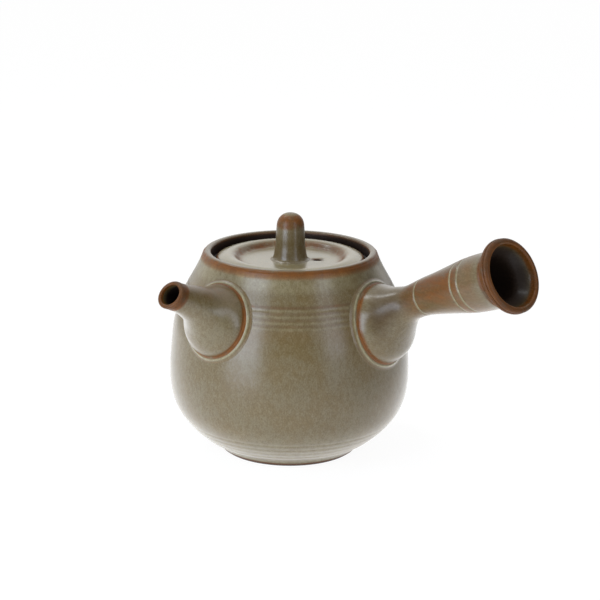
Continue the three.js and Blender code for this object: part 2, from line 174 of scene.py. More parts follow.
def colour(name, description, red, green, blue):
    return FloatVectorProperty(
        name=name, description=description, default=linear(red, green, blue), subtype="COLOR",
        min=0.0, max=1.0,
    )


class PotSizes(bpy.types.PropertyGroup):
    belly_radius: length("Belly radius", "Largest radius of the pot", 0.0500)
    belly_height: length("Belly height", "Height of the largest radius", 0.0360)
    foot_radius: length("Foot radius", "Radius of the flat underside's edge", 0.0280)
    foot_bevel: length("Foot bevel", "Bevel round the underside", 0.0007)
    waist_radius: length("Waist radius", "Radius where the foot meets the belly", 0.0305)
    waist_height: length("Waist height", "Height where the foot meets the belly", 0.0032)
    rim_radius: length("Rim radius", "Outside radius of the rim", 0.0358)
    rim_height: length("Rim height", "Height of the rim", POT_HIGH.z)
    rim_thickness: length("Rim thickness", "Thickness of the rim", 0.0030)
    rim_rounding: length("Rim rounding", "Rounding of the rim's two edges", 0.0011)
    wall: length("Wall", "Thickness of the pot's wall", 0.0035)
    floor: length("Floor", "Thickness of the pot's floor", 0.0045)
    gallery_depth: length("Gallery depth", "Depth of the lid's seat below the rim", 0.0052)
    seat_width: length("Seat width", "Width of the lid's seat", 0.0042)
    seat_thickness: length("Seat thickness", "Thickness of the lid's seat", 0.0026)
    way_radius: length("Way radius", "Hole through the wall behind the spout", 0.0080)
    way_drop: length("Way drop", "Depth of that hole's middle below the seat", 0.0178)
    way_lift: turn("Way lift", "Rise of that hole towards the spout", 12)
    even: length("Evening", "Reach over which the turned curve is evened out", 0.0022)
    around: count("Around", "Faces round the pot", 256)


class BandSizes(bpy.types.PropertyGroup):
    rim_depth: length("Rim depth", "Rust below the top of the rim", 0.0021)
    rim_fade: length("Rim fade", "Reach over which the rim's rust fades", 0.0022)
    foot_depth: length("Foot depth", "Dry clay above the underside", 0.0013)
    foot_fade: length("Foot fade", "Reach over which the dry foot fades", 0.0005)
    brown_low: length("Brown low", "Lower end of the browner shoulder", 0.0620)
    brown_high: length("Brown high", "Upper end of the browner shoulder", 0.0690)
    brown_fade: length("Brown fade", "Reach over which the browner shoulder fades", 0.0060)
    pale_low: length("Pale low", "Lower end of the pale band below the rim", 0.0785)
    pale_high: length("Pale high", "Upper end of the pale band below the rim", 0.0810)
    pale_fade: length("Pale fade", "Reach over which the pale band fades", 0.0030)


class LineSizes(bpy.types.PropertyGroup):
    depth: length("Depth", "Depth of a turned line", 0.00013)
    width: length("Width", "Half width of a turned line", 0.00050)
    shoulder_height: length("Shoulder height", "Height of the lowest line on the shoulder", 0.06365)
    shoulder_pitch: length("Shoulder pitch", "Distance between lines on the shoulder", 0.00227)
    shoulder_count: count("Shoulder lines", "Number of lines on the shoulder", 4)
    foot_height: length("Foot height", "Height of the lowest line above the foot", 0.0068)
    foot_pitch: length("Foot pitch", "Distance between lines above the foot", 0.00250)
    foot_count: count("Foot lines", "Number of lines above the foot", 4)


class LidSizes(bpy.types.PropertyGroup):
    radius: length("Radius", "Radius of the lid", LID_HIGH.x)
    dish_height: length("Dish height", "Height of the sunken middle", KNOB_LOW.z)
    crest_height: length("Crest height", "Height of the raised ring", LID_HIGH.z)
    plate: length("Plate", "Thickness of the sunken middle", 0.0028)
    flange_depth: length("Flange depth", "Depth of the flange below the seat", 0.0065)
    flange_thickness: length("Flange thickness", "Thickness of the flange", 0.0027)
    flange_clearance: length("Flange clearance", "Room round the flange", 0.0006)
    vent_radius: length("Vent radius", "Radius of the steam hole", 0.00145)
    vent_distance: length("Vent distance", "Distance of the steam hole from the middle", 0.0112)
    vent_turn: turn("Vent turn", "Direction of the steam hole", 41.3)
    vent_bevel: length("Vent bevel", "Sunken ring round the steam hole", 0.0009)
    vent_sink: share("Vent sink", "Depth of that ring as a share of its width", 0.45)
    vent_dry: share("Vent dryness", "How bare the clay is at the steam hole's edge", 0.75)
    slope_place: share("Slope place", "Share of the radius where the ring's inner slope lies", 0.71)
    slope_width: share("Slope width", "Share of the radius over which its rust fades", 0.065)
    rim_start: share("Rim start", "Share of the radius where the rust of the lid's rim begins", 0.975)
    rim_fade: share("Rim fade", "Share of the radius over which that rust fades", 0.016)


class KnobSizes(bpy.types.PropertyGroup):
    radius: length("Radius", "Radius of the knob at half its height", 0.0060)
    top: length("Top", "Height of the knob's top", KNOB_HIGH.z)
    band_top: share("Band top", "Share of the height where the brown band ends", 0.91)
    band_bottom: share("Band bottom", "Share of the height where the brown band begins", 0.79)
    band_fade: share("Band fade", "Share of the height over which the brown band fades", 0.16)
    pale_foot: share("Pale foot", "Share of the height where the paler foot ends", 0.08)
    pale_tip: share("Pale tip", "Share of the height where the paler tip begins", 0.975)
    tip_fade: share("Tip fade", "Share of the height over which the paler tip fades", 0.03)


class HandleSizes(bpy.types.PropertyGroup):
    mouth: location("Mouth", "Middle of the open end", (0.10899, 0.0055, 0.0928))
    yaw: turn("Yaw", "Direction in plan, from +X", 0)
    lift: turn("Lift", "Rise towards the mouth", 21.4)
    lip_tilt: turn("Lip tilt", "Lean of the lip's face back from square", 4)
    lip_turn: turn("Lip turn", "Turn of the lip's face from square", -2.5)
    root_sink: length("Root sink", "Depth of the root's end inside the belly radius", 0.0108)
    root_radius: length("Root radius", "Radius at the root", 0.0165)
    root_drop: length("Root drop", "Drop of the root's middle below the axis", 0.0062)
    lip_radius: length("Lip radius", "Outside radius of the lip", 0.0150)
    lip_thickness: length("Lip thickness", "Thickness of the lip", 0.0039)
    hole_radius: length("Hole radius", "Radius of the open mouth", 0.0124)
    mouth_wall: length("Mouth wall", "Wall at the mouth", 0.0026)
    root_wall: length("Root wall", "Wall at the root", 0.0032)
    root_roll: length("Root roll", "Rounding of the root's edge", 0.0013)
    lip_band: length("Lip band", "Brown length behind the mouth", 0.0066)


class SpoutSizes(bpy.types.PropertyGroup):
    mouth: location("Mouth", "Middle of the open end", (0.0, -0.07063, 0.0798))
    yaw: turn("Yaw", "Direction in plan, from +X", -90)
    lift: turn("Lift", "Rise towards the mouth", 24)
    lip_tilt: turn("Lip tilt", "Lean of the lip's face back from square", 14)
    lip_turn: turn("Lip turn", "Turn of the lip's face from square", 0)
    root_sink: length("Root sink", "Depth of the root's end inside the belly radius", 0.0081)
    root_radius: length("Root radius", "Radius at the root", 0.0150)
    root_drop: length("Root drop", "Drop of the root's middle below the axis", 0.0040)
    lip_radius: length("Lip radius", "Outside radius of the lip", 0.0060)
    lip_thickness: length("Lip thickness", "Thickness of the lip", 0.0020)
    hole_radius: length("Hole radius", "Radius of the open mouth", 0.00425)
    mouth_wall: length("Mouth wall", "Wall at the mouth", 0.0016)
    root_wall: length("Root wall", "Wall at the root", 0.0026)
    root_roll: length("Root roll", "Rounding of the root's edge", 0.0012)
    lip_band: length("Lip band", "Brown length behind the mouth", 0.0034)


class BeadSizes(bpy.types.PropertyGroup):
    handle_width: length("Handle bead width", "Reach of the bead from the handle", 0.0018)
    handle_height: length("Handle bead height", "Height of the bead at the handle", 0.00080)
    spout_width: length("Spout bead width", "Reach of the bead from the spout", 0.0016)
    spout_height: length("Spout bead height", "Height of the bead at the spout", 0.00075)
    around: count("Around", "Faces along a bead", 192)


class StrainerSizes(bpy.types.PropertyGroup):
    radius: length("Radius", "Outside radius of the dome", 0.0115)
    thickness: length("Thickness", "Thickness of the dome", 0.0020)
    skirt: length("Skirt", "Depth of the dome's edge in the wall", 0.0018)
    hole_radius: length("Hole radius", "Radius of a hole", 0.0011)
    hole_pitch: turn("Hole pitch", "Angle from one ring of holes to the next", 25)
    rings: count("Rings", "Rings of holes, with the middle one", 3)
    per_ring: count("Per ring", "Holes that each ring adds", 6)


class GlazeSettings(bpy.types.PropertyGroup):
    ground: colour("Ground", "Olive-brown satin glaze", 92, 75, 38)
    cloud: colour("Cloud", "Greyer drift in the glaze", 96, 85, 58)
    lid_ground: colour("Lid ground", "Pale glaze on the lid", 129, 121, 88)
    lid_cloud: colour("Lid cloud", "Warmer drift in the lid's glaze", 129, 115, 81)
    thin: colour("Thin", "Rust where the glaze breaks on an edge", 99, 57, 13)
    thick: colour("Thick", "Pale glaze pooled in a hollow", 126, 117, 86)
    # The bare clay's dark colour also paints the shade in the bores and on the handle's bulb and neck
    bare: colour("Bare", "Unglazed clay inside and below", 34, 24, 19)
    cloud_size: length("Cloud size", "Size of a drift in the glaze", 0.0160)
    mottle_size: length("Mottle size", "Size of the fine mottling", 0.0016)
    speck_size: length("Speck size", "Size of a speck", 0.00045)
    gloss: share("Gloss", "Share of the sharper gloss over the satin", 0.8)
    gloss_blur: share("Gloss blur", "Roughness of the sharper gloss", 0.25)
    satin: share("Satin", "Reflection of the satin below the gloss", 0.22)
    lid_gloss: share("Lid gloss", "Share of the sharper gloss on the lid", 1.0)
    lid_gloss_blur: share("Lid gloss blur", "Roughness of the lid's sharper gloss", 0.23)
    lid_satin: share("Lid satin", "Reflection of the lid's satin below its gloss", 0.26)
    index: FloatProperty(name="Index", description="Refraction of the satin", default=1.42)
    bump: share("Bump", "Strength of the glaze's fine unevenness", 0.12)
    bump_height: length("Bump height", "Height of the glaze's fine unevenness", 0.0002)


class StudioSettings(bpy.types.PropertyGroup):
    camera_place: location("Camera place", "Place of the camera", (0.5433, -0.6120, 0.2904))
    camera_aim: location("Camera aim", "Point in the middle of the picture", (0.00906, -0.00392, 0.06587))
    camera_roll: turn("Camera roll", "Lean of the camera", 0.549)
    lens: FloatProperty(name="Lens", description="Focal length", default=122.2, unit="CAMERA")
    sensor: FloatProperty(name="Sensor", description="Sensor width", default=36.0, unit="CAMERA")
    near: length("Near", "Nearest distance that the camera sees", 0.01)
    far: length("Far", "Farthest distance that the camera sees", 50.0)
    floor_size: length("Floor size", "Side of the floor", 24.0)
    floor_sink: length("Floor sink", "Depth of the floor below the foot", 0.0001)
    left_distance: length("Left distance", "Distance of the left softbox", 0.36)
    left_turn: turn("Left turn", "Direction of the left softbox, from +X", -91)
    left_width: length("Left width", "Width of the left softbox", 0.20)
    left_height: length("Left height", "Height of the left softbox", 0.36)
    left_power: power("Left power", "Left softbox", 1.42)
    right_distance: length("Right distance", "Distance of the right softbox", 0.60)
    right_turn: turn("Right turn", "Direction of the right softbox, from +X", -5)
    right_width: length("Right width", "Width of the right softbox", 0.20)
    right_height: length("Right height", "Height of the right softbox", 0.58)
    right_power: power("Right power", "Right softbox", 1.15)
    high_turn: turn("High turn", "Direction of the two high lamps, from +X", -177)
    top_turn: turn("Top turn", "Direction of the lamp overhead, from +X", -100)
    high_size: length("High size", "Side of a high lamp", 0.12)
    high_power: power("High power", "A high lamp", 0.8)
    high_rise: turn("High rise", "Rise of the higher of the two high lamps", 62)
    low_rise: turn("Low rise", "Rise of the lower of the two high lamps", 50)
    top_rise: turn("Top rise", "Rise of the lamp overhead", 79)
    table_size: length("Table size", "Side of the glow round the foot", 0.70)
    table_power: power("Table power", "Glow round the foot", 0.85)
    room: share("Room", "Light of the room on matt surfaces", 0.65)
    mirrored: share("Mirrored room", "Brightness of the room in the gloss", 1.15)
    paper: share("Paper", "Brightness of the floor for the camera, without its shadow", 0.94)
    mirrored_paper: share("Mirrored paper", "Brightness of the floor in the gloss", 0.5)
    shade: share("Shade", "Share of the room's light that the camera's right keeps", 0.25)
    front: share("Front", "Share of the room's light that the camera's side keeps", 0.5)


class TeapotSettings(bpy.types.PropertyGroup):
    pot: PointerProperty(type=PotSizes)
    bands: PointerProperty(type=BandSizes)
    lines: PointerProperty(type=LineSizes)
    lid: PointerProperty(type=LidSizes)
    knob: PointerProperty(type=KnobSizes)
    handle: PointerProperty(type=HandleSizes)
    spout: PointerProperty(type=SpoutSizes)
    beads: PointerProperty(type=BeadSizes)
    strainer: PointerProperty(type=StrainerSizes)
    glaze: PointerProperty(type=GlazeSettings)
    studio: PointerProperty(type=StudioSettings)


# Curves

def smooth_through(table, places):
    """Values of a smooth curve through rows of (place, value), at many places."""
    x, y = np.array(table, float).T
    before = np.r_[0, np.arange(len(x) - 1)]
    after = np.r_[np.arange(1, len(x)), len(x) - 1]
    slopes = (y[after] - y[before]) / (x[after] - x[before])
    i = np.clip(np.searchsorted(x, places, side="right") - 1, 0, len(x) - 2)
    span = x[i + 1] - x[i]
    t = np.clip((places - x[i]) / span, 0, 1)
    bend = slopes[i] * t * (1 - t) ** 2 - slopes[i + 1] * t**2 * (1 - t)
    return y[i] + (y[i + 1] - y[i]) * t * t * (3 - 2 * t) + bend * span


def evened(values, step, reach):
    """Evenly spaced values with their bends spread over a reach, so that reflections run smoothly."""
    half = int(math.ceil(3 * reach / step))
    weights = np.exp(-0.5 * (np.arange(-half, half + 1) * step / reach) ** 2)
    head = 2 * values[0] - values[half:0:-1]
    tail = 2 * values[-1] - values[-2:-half - 2:-1]
    return np.convolve(np.r_[head, values, tail], weights / weights.sum(), mode="valid")


def smooth_path(points, steps):
    """Points along a smooth path through given ones, with a number of steps between each two."""
    points = np.array(points, float)
    chords = np.linalg.norm(np.diff(points, axis=0), axis=1)
    places = np.r_[0, np.cumsum(chords)]
    between = np.concatenate([
        np.linspace(a, b, steps, endpoint=False) for a, b in zip(places[:-1], places[1:])
    ])
    between = np.r_[between, places[-1]]
    return np.stack(
        [smooth_through(np.stack([places, axis], 1), between) for axis in points.T], axis=1,
    )


def arc(middle, radius, start, stop, steps):
    """Points of a round from one angle to another, in degrees."""
    angles = np.radians(np.linspace(start, stop, steps + 1))
    return np.array(middle) + radius * np.stack([np.cos(angles), np.sin(angles)], 1)


def line(start, stop, steps):
    return np.linspace(start, stop, steps + 1)


def band(place, low, high, soft):
    """1 between two places and 0 outside, with soft ends that lie outside them."""
    rise = np.clip((place - low + soft) / soft, 0, 1)
    fall = np.clip((high + soft - place) / soft, 0, 1)
    return rise * rise * (3 - 2 * rise) * fall * fall * (3 - 2 * fall)


def ridge(place, middle, width):
    """A soft peak of height 1."""
    return np.exp(-(((place - middle) / width) ** 2))


class PotCurve:
    """The pot's outside radius at any height."""

    # Distance between heights, in metres
    STEP = 0.0001

    def __init__(self, pot):
        rise = pot.belly_height - pot.waist_height
        widening = pot.belly_radius - pot.waist_radius
        table = [(0, pot.foot_radius)]
        table += [(pot.waist_height + rise * up, pot.waist_radius + widening * out)
                  for up, out in LOWER_BELLY_SHARES]
        rise = pot.rim_height - pot.belly_height
        widening = pot.belly_radius - pot.rim_radius
        table += [(pot.belly_height + rise * up, pot.rim_radius + widening * out)
                  for up, out in UPPER_BELLY_SHARES]
        self.heights = np.arange(0, pot.rim_height + self.STEP / 2, self.STEP)
        drawn = smooth_through(table, self.heights)
        even = evened(drawn, self.STEP, pot.even)
        above_foot = band(self.heights, 2.5 * pot.waist_height, pot.rim_height, pot.waist_height)
        self.radii = drawn + (even - drawn) * above_foot

    def __call__(self, height):
        return np.interp(height, self.heights, self.radii)

    def slope(self, height):
        return (self(height + self.STEP) - self(height - self.STEP)) / (2 * self.STEP)

    def normal(self, points):
        """Directions straight out of the pot's side at places on it."""
        x, y, z = points.T
        slope = self.slope(z)
        reach = np.hypot(x, y)
        out = np.stack([x / reach, y / reach, -slope], 1)
        return out / np.linalg.norm(out, axis=1)[:, None]


def turned_lines(lines, height):
    """Depth of the turned lines and the soft ridges between them, both from 0 to 1."""
    cut = np.zeros_like(height)
    rise = np.zeros_like(height)
    for low, pitch, number in (
        (lines.shoulder_height, lines.shoulder_pitch, lines.shoulder_count),
        (lines.foot_height, lines.foot_pitch, lines.foot_count),
    ):
        for index in range(number):
            cut = np.maximum(cut, ridge(height, low + index * pitch, lines.width))
            between = low + (index + 0.5) * pitch
            rise = np.maximum(rise, ridge(height, between, RIDGE_WIDTH * lines.width))
    return cut, rise


# Sections of the turned pieces: rows of radius, height and the three glaze masks

def rows(points, thin=0.0, thick=0.0, bare=0.0):
    masks = [np.broadcast_to(mask, len(points)) for mask in (thin, thick, bare)]
    return np.column_stack([points, *masks])


def seat_height(pot):
    """Height of the ledge that the lid lies on."""
    return pot.rim_height - pot.gallery_depth


def gallery_radius(pot):
    """Inside radius of the rim above that ledge."""
    return pot.rim_radius - pot.rim_thickness


def side_masks(pot, bands, lines, heights, cut, rise):
    """Masks of the pot's outside: rim, foot, turned lines, browner shoulder and paler ends."""
    shoulder = band(heights, pot.belly_height, pot.rim_height, pot.belly_height / 2)
    edge = band(heights, pot.rim_height - bands.rim_depth, pot.rim_height, bands.rim_fade)
    foot_line = band(heights, 0, bands.foot_depth, bands.foot_fade)
    top_place = lines.shoulder_height + (lines.shoulder_count - 0.5) * lines.shoulder_pitch
    top_ridge = ridge(heights, top_place, RIDGE_WIDTH * lines.width)
    ridges = np.maximum(0.6 * rise * shoulder, top_ridge)
    # Paler towards the foot: partly glaze pooled there, partly painted light bounced up from the floor
    foot_pool_and_painted_bounce = np.clip(1 - heights / (0.6 * pot.belly_height), 0, 1)
    brown = band(heights, bands.brown_low, bands.brown_high, bands.brown_fade)
    below_rim = band(heights, bands.pale_low, bands.pale_high, bands.pale_fade)
    pooled = np.maximum.reduce([0.28 * cut, 0.45 * foot_pool_and_painted_bounce, 0.35 * below_rim])
    return {
        "thin": np.maximum.reduce([edge, 0.34 * ridges, 0.12 * brown, foot_line]),
        "thick": pooled * (1 - foot_line),
        "bare": np.maximum(0.5 * foot_line, 0.22 * ridges),
    }


def pot_section(pot, bands, lines):
    """From the middle of the underside up the outside, over the rim and down to the floor."""
    curve = PotCurve(pot)
    seat = seat_height(pot)
    gallery = gallery_radius(pot)
    roll = pot.rim_rounding
    foot_top = pot.foot_bevel
    heights = np.linspace(foot_top, pot.rim_height - roll, WALL_ROWS)
    cut, rise = turned_lines(lines, heights)
    wall = np.stack([curve(heights) - lines.depth * cut, heights], 1)
    inside_top = seat - pot.seat_thickness - pot.wall / 2
    inside = np.linspace(inside_top, pot.belly_height, 24)
    # The bowl's inside lies square to its outside
    bowl = np.linspace(pot.belly_height, pot.waist_height, 40)[1:]
    reach = pot.wall / np.hypot(1, curve.slope(bowl))
    bowl = np.stack([curve(bowl) - reach, bowl + reach * curve.slope(bowl)], 1)
    bowl = bowl[bowl[:, 1] > pot.floor]
    outer_edge = arc((pot.rim_radius - roll, pot.rim_height - roll), roll, 0, 90, 8)[1:]
    inner_edge = arc((gallery + roll, pot.rim_height - roll), roll, 90, 180, 8)
    seat_radius = gallery - pot.seat_width
    up = np.linspace(0, 1, len(outer_edge))
    over = np.linspace(0, 1, len(inner_edge))
    return np.concatenate([
        rows(line((0, 0), (pot.foot_radius - foot_top, 0), 24), bare=1),
        rows(arc((pot.foot_radius - foot_top, foot_top), foot_top, -90, 0, 4)[1:-1], bare=1),
        rows(wall, **side_masks(pot, bands, lines, heights, cut, rise)),
        rows(outer_edge, thin=1 - 0.86 * up),
        rows(inner_edge, thin=0.14 + 0.82 * over**2, bare=0.8 * over**2),
        rows(line((gallery, pot.rim_height - 1.6 * roll), (gallery, seat + SEAT_CORNER), 10), bare=1),
        rows(line((gallery - SEAT_CORNER, seat), (seat_radius + CORNER, seat), 6), bare=1),
        rows(line((seat_radius, seat - CORNER), (seat_radius, seat - pot.seat_thickness), 4), bare=1),
        rows(np.stack([curve(inside) - pot.wall, inside], 1), bare=1),
        rows(bowl, bare=1),
        rows(line((pot.foot_radius - pot.wall, pot.floor), (0, pot.floor), 12), bare=1),
    ])


def lid_section(lid, pot):
    """From the middle of the top over the raised ring, down the edge and in under the flange."""
    seat = seat_height(pot)
    flange = gallery_radius(pot) - pot.seat_width - lid.flange_clearance
    rise = lid.crest_height - lid.dish_height
    top = smooth_path(
        [(lid.radius * out, lid.dish_height + rise * up) for out, up in LID_SHARES], PROFILE_STEPS,
    )
    out = top[:, 0] / lid.radius
    slope = ridge(out, lid.slope_place, lid.slope_width)
    rim = band(out, lid.rim_start, 1, lid.rim_fade)
    hollow = flange - lid.flange_thickness
    edge_high, edge_low = lid.dish_height - LID_CORNER / 2, seat + LID_GAP
    below, tip = lid.dish_height - lid.plate, seat - lid.flange_depth
    return np.concatenate([
        rows(top, thin=np.maximum(0.76 * slope, 0.95 * rim)),
        rows(line((lid.radius, edge_high), (lid.radius, seat + LID_CORNER), 4), thin=0.8, bare=0.4),
        rows(line((lid.radius - LID_CORNER, edge_low), (flange, edge_low), 4), bare=1),
        rows(line((flange, seat - SEAT_CORNER), (flange, tip), 8), bare=1),
        rows(line((hollow, tip), (hollow, below), 8), bare=1),
        rows(line((hollow - CORNER, below), (0, below), 24), bare=1),
    ])


def knob_section(knob, lid):
    """From the middle of the underside up to the rounded tip."""
    height = knob.top - lid.dish_height
    points = smooth_path(
        [(knob.radius * out, lid.dish_height + height * up) for up, out in KNOB_SHARES],
        PROFILE_STEPS,
    )
    up = (points[:, 1] - lid.dish_height) / height
    brown = band(up, knob.band_bottom, knob.band_top, knob.band_fade)
    foot = np.clip(1 - up / knob.pale_foot, 0, 1)
    tip = band(up, knob.pale_tip, 1, knob.tip_fade)
    return np.concatenate([
        rows(line((0, points[0, 1]), points[0], 6)[:-1]),
        rows(points, thin=0.85 * brown, thick=np.maximum(0.15 * foot, 0.45 * tip)),
    ])


def dome_section(strainer):
    """Down the inside of the dome and up its outside."""
    outer, inner = strainer.radius, strainer.radius - strainer.thickness
    return np.concatenate([
        rows(arc((0, 0), inner, 90, 0, 24), bare=1),
        rows(line((inner, -strainer.skirt), (outer, -strainer.skirt), 2), bare=1),
        rows(arc((0, 0), outer, 0, 90, 24), bare=1),
    ])


def outside_section(pot):
    """All that lies beyond the middle of the wall, to trim the strainer's foot with."""
    curve = PotCurve(pot)
    heights = np.linspace(pot.belly_height, seat_height(pot), 60)
    middle = np.stack([curve(heights) - pot.wall / 2, heights], 1)
    beyond = 1.2 * pot.belly_radius
    return np.concatenate([
        rows([middle[0], (beyond, heights[0]), (beyond, heights[-1])]), rows(middle[::-1]),
    ])


# Branches: the handle and the spout

# Parts of a branch's skin, from its root over the lip and into the bore
SKIN, LIP, EDGE, BORE = range(4)
# Rust at a branch's root: start, end and soft ends, out from the pot
ROOT_BAND = (-0.004, 0.0012, 0.0020)


class Branch:
    """A hollow tube that leaves the pot: its axis, its swelling and where it meets the pot."""

    # Steps along the axis, and the share of its length over which its curves are evened out
    STEPS = 400
    EVEN_SHARE = 1 / 60
    # Search for the joint: halvings, and its far end as a share of the length
    HALVINGS = 30
    JOINT_REACH = 1.4

    def __init__(self, sizes, shares, pot):
        self.sizes = sizes
        self.curve = PotCurve(pot)
        yaw, lift = sizes.yaw, sizes.lift
        self.mouth = np.array(sizes.mouth)
        self.outward = np.array([
            math.cos(lift) * math.cos(yaw), math.cos(lift) * math.sin(yaw), math.sin(lift),
        ])
        self.across = np.array([-math.sin(yaw), math.cos(yaw), 0])
        self.upward = np.cross(self.outward, self.across)
        reach = math.hypot(self.outward[0], self.outward[1])
        mouth_reach = abs(float(self.mouth @ [math.cos(yaw), math.sin(yaw), 0]))
        self.length = (mouth_reach - pot.belly_radius + sizes.root_sink) / reach
        place, radius, drop = np.array(shares, float).T
        self.alongs = np.linspace(0, self.length, self.STEPS)
        step, reach = self.alongs[1], self.length * self.EVEN_SHARE
        table = np.stack([place * self.length, radius * sizes.root_radius], 1)
        self.radii = evened(smooth_through(table, self.alongs), step, reach)
        table = np.stack([place * self.length, drop * sizes.root_drop], 1)
        self.drops = evened(smooth_through(table, self.alongs), step, reach)

    def radius(self, along):
        return np.interp(along, self.alongs, self.radii)

    def wall(self, along):
        s = self.sizes
        return s.mouth_wall + (s.root_wall - s.mouth_wall) * np.clip(along / self.length, 0, 1)

    def place(self, along, radius, turns):
        """Points at a distance back from the mouth and from the centre line, at turns round it."""
        along, radius, turns = np.broadcast_arrays(along, radius, turns)
        fade = np.clip(1 - along / self.length, 0, 1)[..., None]
        side_turn, up_turn = self.sizes.lip_turn * fade, -self.sizes.lip_tilt * fade
        side = self.across * np.cos(side_turn)
        side = side + np.cross(self.upward, self.across) * np.sin(side_turn)
        up = self.upward * np.cos(up_turn) + np.cross(self.across, self.upward) * np.sin(up_turn)
        drop = np.interp(along, self.alongs, self.drops)[..., None]
        middle = self.mouth - self.outward * along[..., None] - self.upward * drop
        return middle + radius[..., None] * (
            side * np.cos(turns)[..., None] + up * np.sin(turns)[..., None]
        )

    def joint(self, turns, inward=0.0):
        """Distance from the mouth at which the tube, drawn in by an amount, meets the pot."""
        out = np.full_like(turns, self.length / 2)
        inside = np.full_like(turns, self.JOINT_REACH * self.length)
        for _ in range(self.HALVINGS):
            middle = (out + inside) / 2
            x, y, z = self.place(middle, self.radius(middle) - inward, turns).T
            clear = np.hypot(x, y) > self.curve(z)
            out, inside = np.where(clear, middle, out), np.where(clear, inside, middle)
        return out


def tube_surface(branch, lip_shares, turns, marks):
    """Rings of points for the whole skin of a branch, and its glaze masks, row by row."""
    sizes = branch.sizes
    sink = sizes.root_wall / 3
    roll_in = sizes.mouth_wall / 3
    lip_back = lip_shares[0][0] * sizes.lip_thickness
    joint = branch.joint(turns)
    inner_joint = branch.joint(turns, float(branch.wall(branch.length)))
    t = np.linspace(1, 0, TUBE_ROWS)[:, None]
    along = lip_back + (joint + sink - lip_back) * t
    left = joint - along
    roll = sizes.root_roll * 0.6 * np.clip(1 - left / (1.8 * sizes.root_roll), 0, 1)
    radius = branch.radius(along) - (sizes.root_roll - np.sqrt(sizes.root_roll**2 - roll**2))
    lip = smooth_path(
        [(back * sizes.lip_thickness, sizes.lip_radius - inward * sizes.lip_thickness)
         for back, inward in lip_shares], LIP_STEPS,
    )[1:]
    edge = arc((roll_in, sizes.hole_radius + roll_in), roll_in, 180, 270, 6)
    depth = np.linspace(0, 1, BORE_ROWS)[1:, None]
    bore = roll_in + (inner_joint + sink - roll_in) * depth
    drawn = branch.radius(bore) - branch.wall(bore)
    settle = np.clip((bore - roll_in) / (2 * sizes.lip_thickness), 0, 1)
    bore_radius = sizes.hole_radius + (drawn - sizes.hole_radius) * settle**2 * (3 - 2 * settle)
    columns = np.ones_like(turns)
    alongs = np.concatenate([along, lip[:, :1] * columns, edge[:, :1] * columns, bore])
    radii = np.concatenate([radius, lip[:, 1:] * columns, edge[:, 1:] * columns, bore_radius])
    numbers = [len(along), len(lip), len(edge), len(bore)]
    part = np.repeat([SKIN, LIP, EDGE, BORE], numbers)[:, None] * columns
    root = np.concatenate([left, np.full((len(alongs) - len(along), len(turns)), branch.length)])
    thin, thick, bare = marks(alongs, part, root, turns[None, :] * np.ones_like(alongs))
    radii = radii - marks.cuts(alongs) * (part == SKIN)
    return branch.place(alongs, radii, turns), np.stack([thin, thick, bare], -1)


class HandleMarks:
    """Glaze masks and turned lines of the handle."""

    RINGS = (0.0189, 0.0230, 0.0446)
    RING_WIDTH = 0.00042
    RING_DEPTH = 0.00028
    # Bands along the handle: their start and end back from the mouth, and their soft ends
    MOUTH = (0, 0.0016, 0.0016)
    NEAR_LIP = (0.0130, 0.0180, 0.0050)
    PAIR = (*RINGS[:2], 0.0004)
    NECK = (0.0225, 0.0475, 0.0095)
    # Painted shade on the bulb
    BULB_SHADE = (0.0500, 0.0620, 0.0060)
    LIP_FADE = 0.0022
    # Painted shade in the bore, in the bare clay's dark colour: where it is already half dark, and the depth
    # over which it would go from the glaze to fully dark
    DRY_START, DRY_DEPTH = 0.0016, 0.0060

    def __init__(self, sizes):
        self.sizes = sizes

    def cuts(self, along):
        return self.RING_DEPTH * sum(ridge(along, place, self.RING_WIDTH) for place in self.RINGS)

    def __call__(self, along, part, root, turns):
        outside = part <= LIP
        lip = band(along, 0, self.sizes.lip_band, self.LIP_FADE) * outside
        edge = band(root, *ROOT_BAND)
        # The neck's rust lies on its upper side, and less on its crown
        upper = 0.5 + 0.5 * np.sin(turns)
        crown = np.clip((np.sin(turns) - 0.72) / 0.22, 0, 1)
        around = (0.22 + 0.66 * upper) * (1 - 0.66 * crown)
        neck = band(along, *self.NECK) * around * outside
        pair = band(along, *self.PAIR) * outside
        rings = self.cuts(along) / self.RING_DEPTH * (part == SKIN)
        near_lip = band(along, *self.NEAR_LIP) * outside
        mouth = band(along, *self.MOUTH) * (part >= EDGE)
        thin = np.maximum.reduce([lip, edge, neck, 0.45 * pair, 0.35 * near_lip, mouth]) * (1 - rings)
        # Painted shade that deepens into the bore
        bore_shade = np.clip(0.52 + (along - self.DRY_START) / self.DRY_DEPTH, 0, 0.97)
        bore_shade = bore_shade * (part == BORE) * (1 - mouth)
        # The lip is dry at its edge, and the bulb has painted shade, darker and a little browner, where it
        # faces the spout's side
        facing = np.clip(-np.cos(turns), 0, 1) * np.clip(1 + 1.2 * np.sin(turns), 0, 1)
        bulb_shade = band(along, *self.BULB_SHADE) * facing * outside * (1 - neck)
        thin = np.maximum(thin, 0.22 * bulb_shade)
        # Painted shade on the upper side of the neck, in the bare clay's dark colour
        neck_shade = 0.26 * neck * upper * (1 - rings)
        return thin, 0.8 * rings, np.maximum.reduce([bore_shade, 0.5 * bulb_shade, neck_shade, 0.34 * lip])


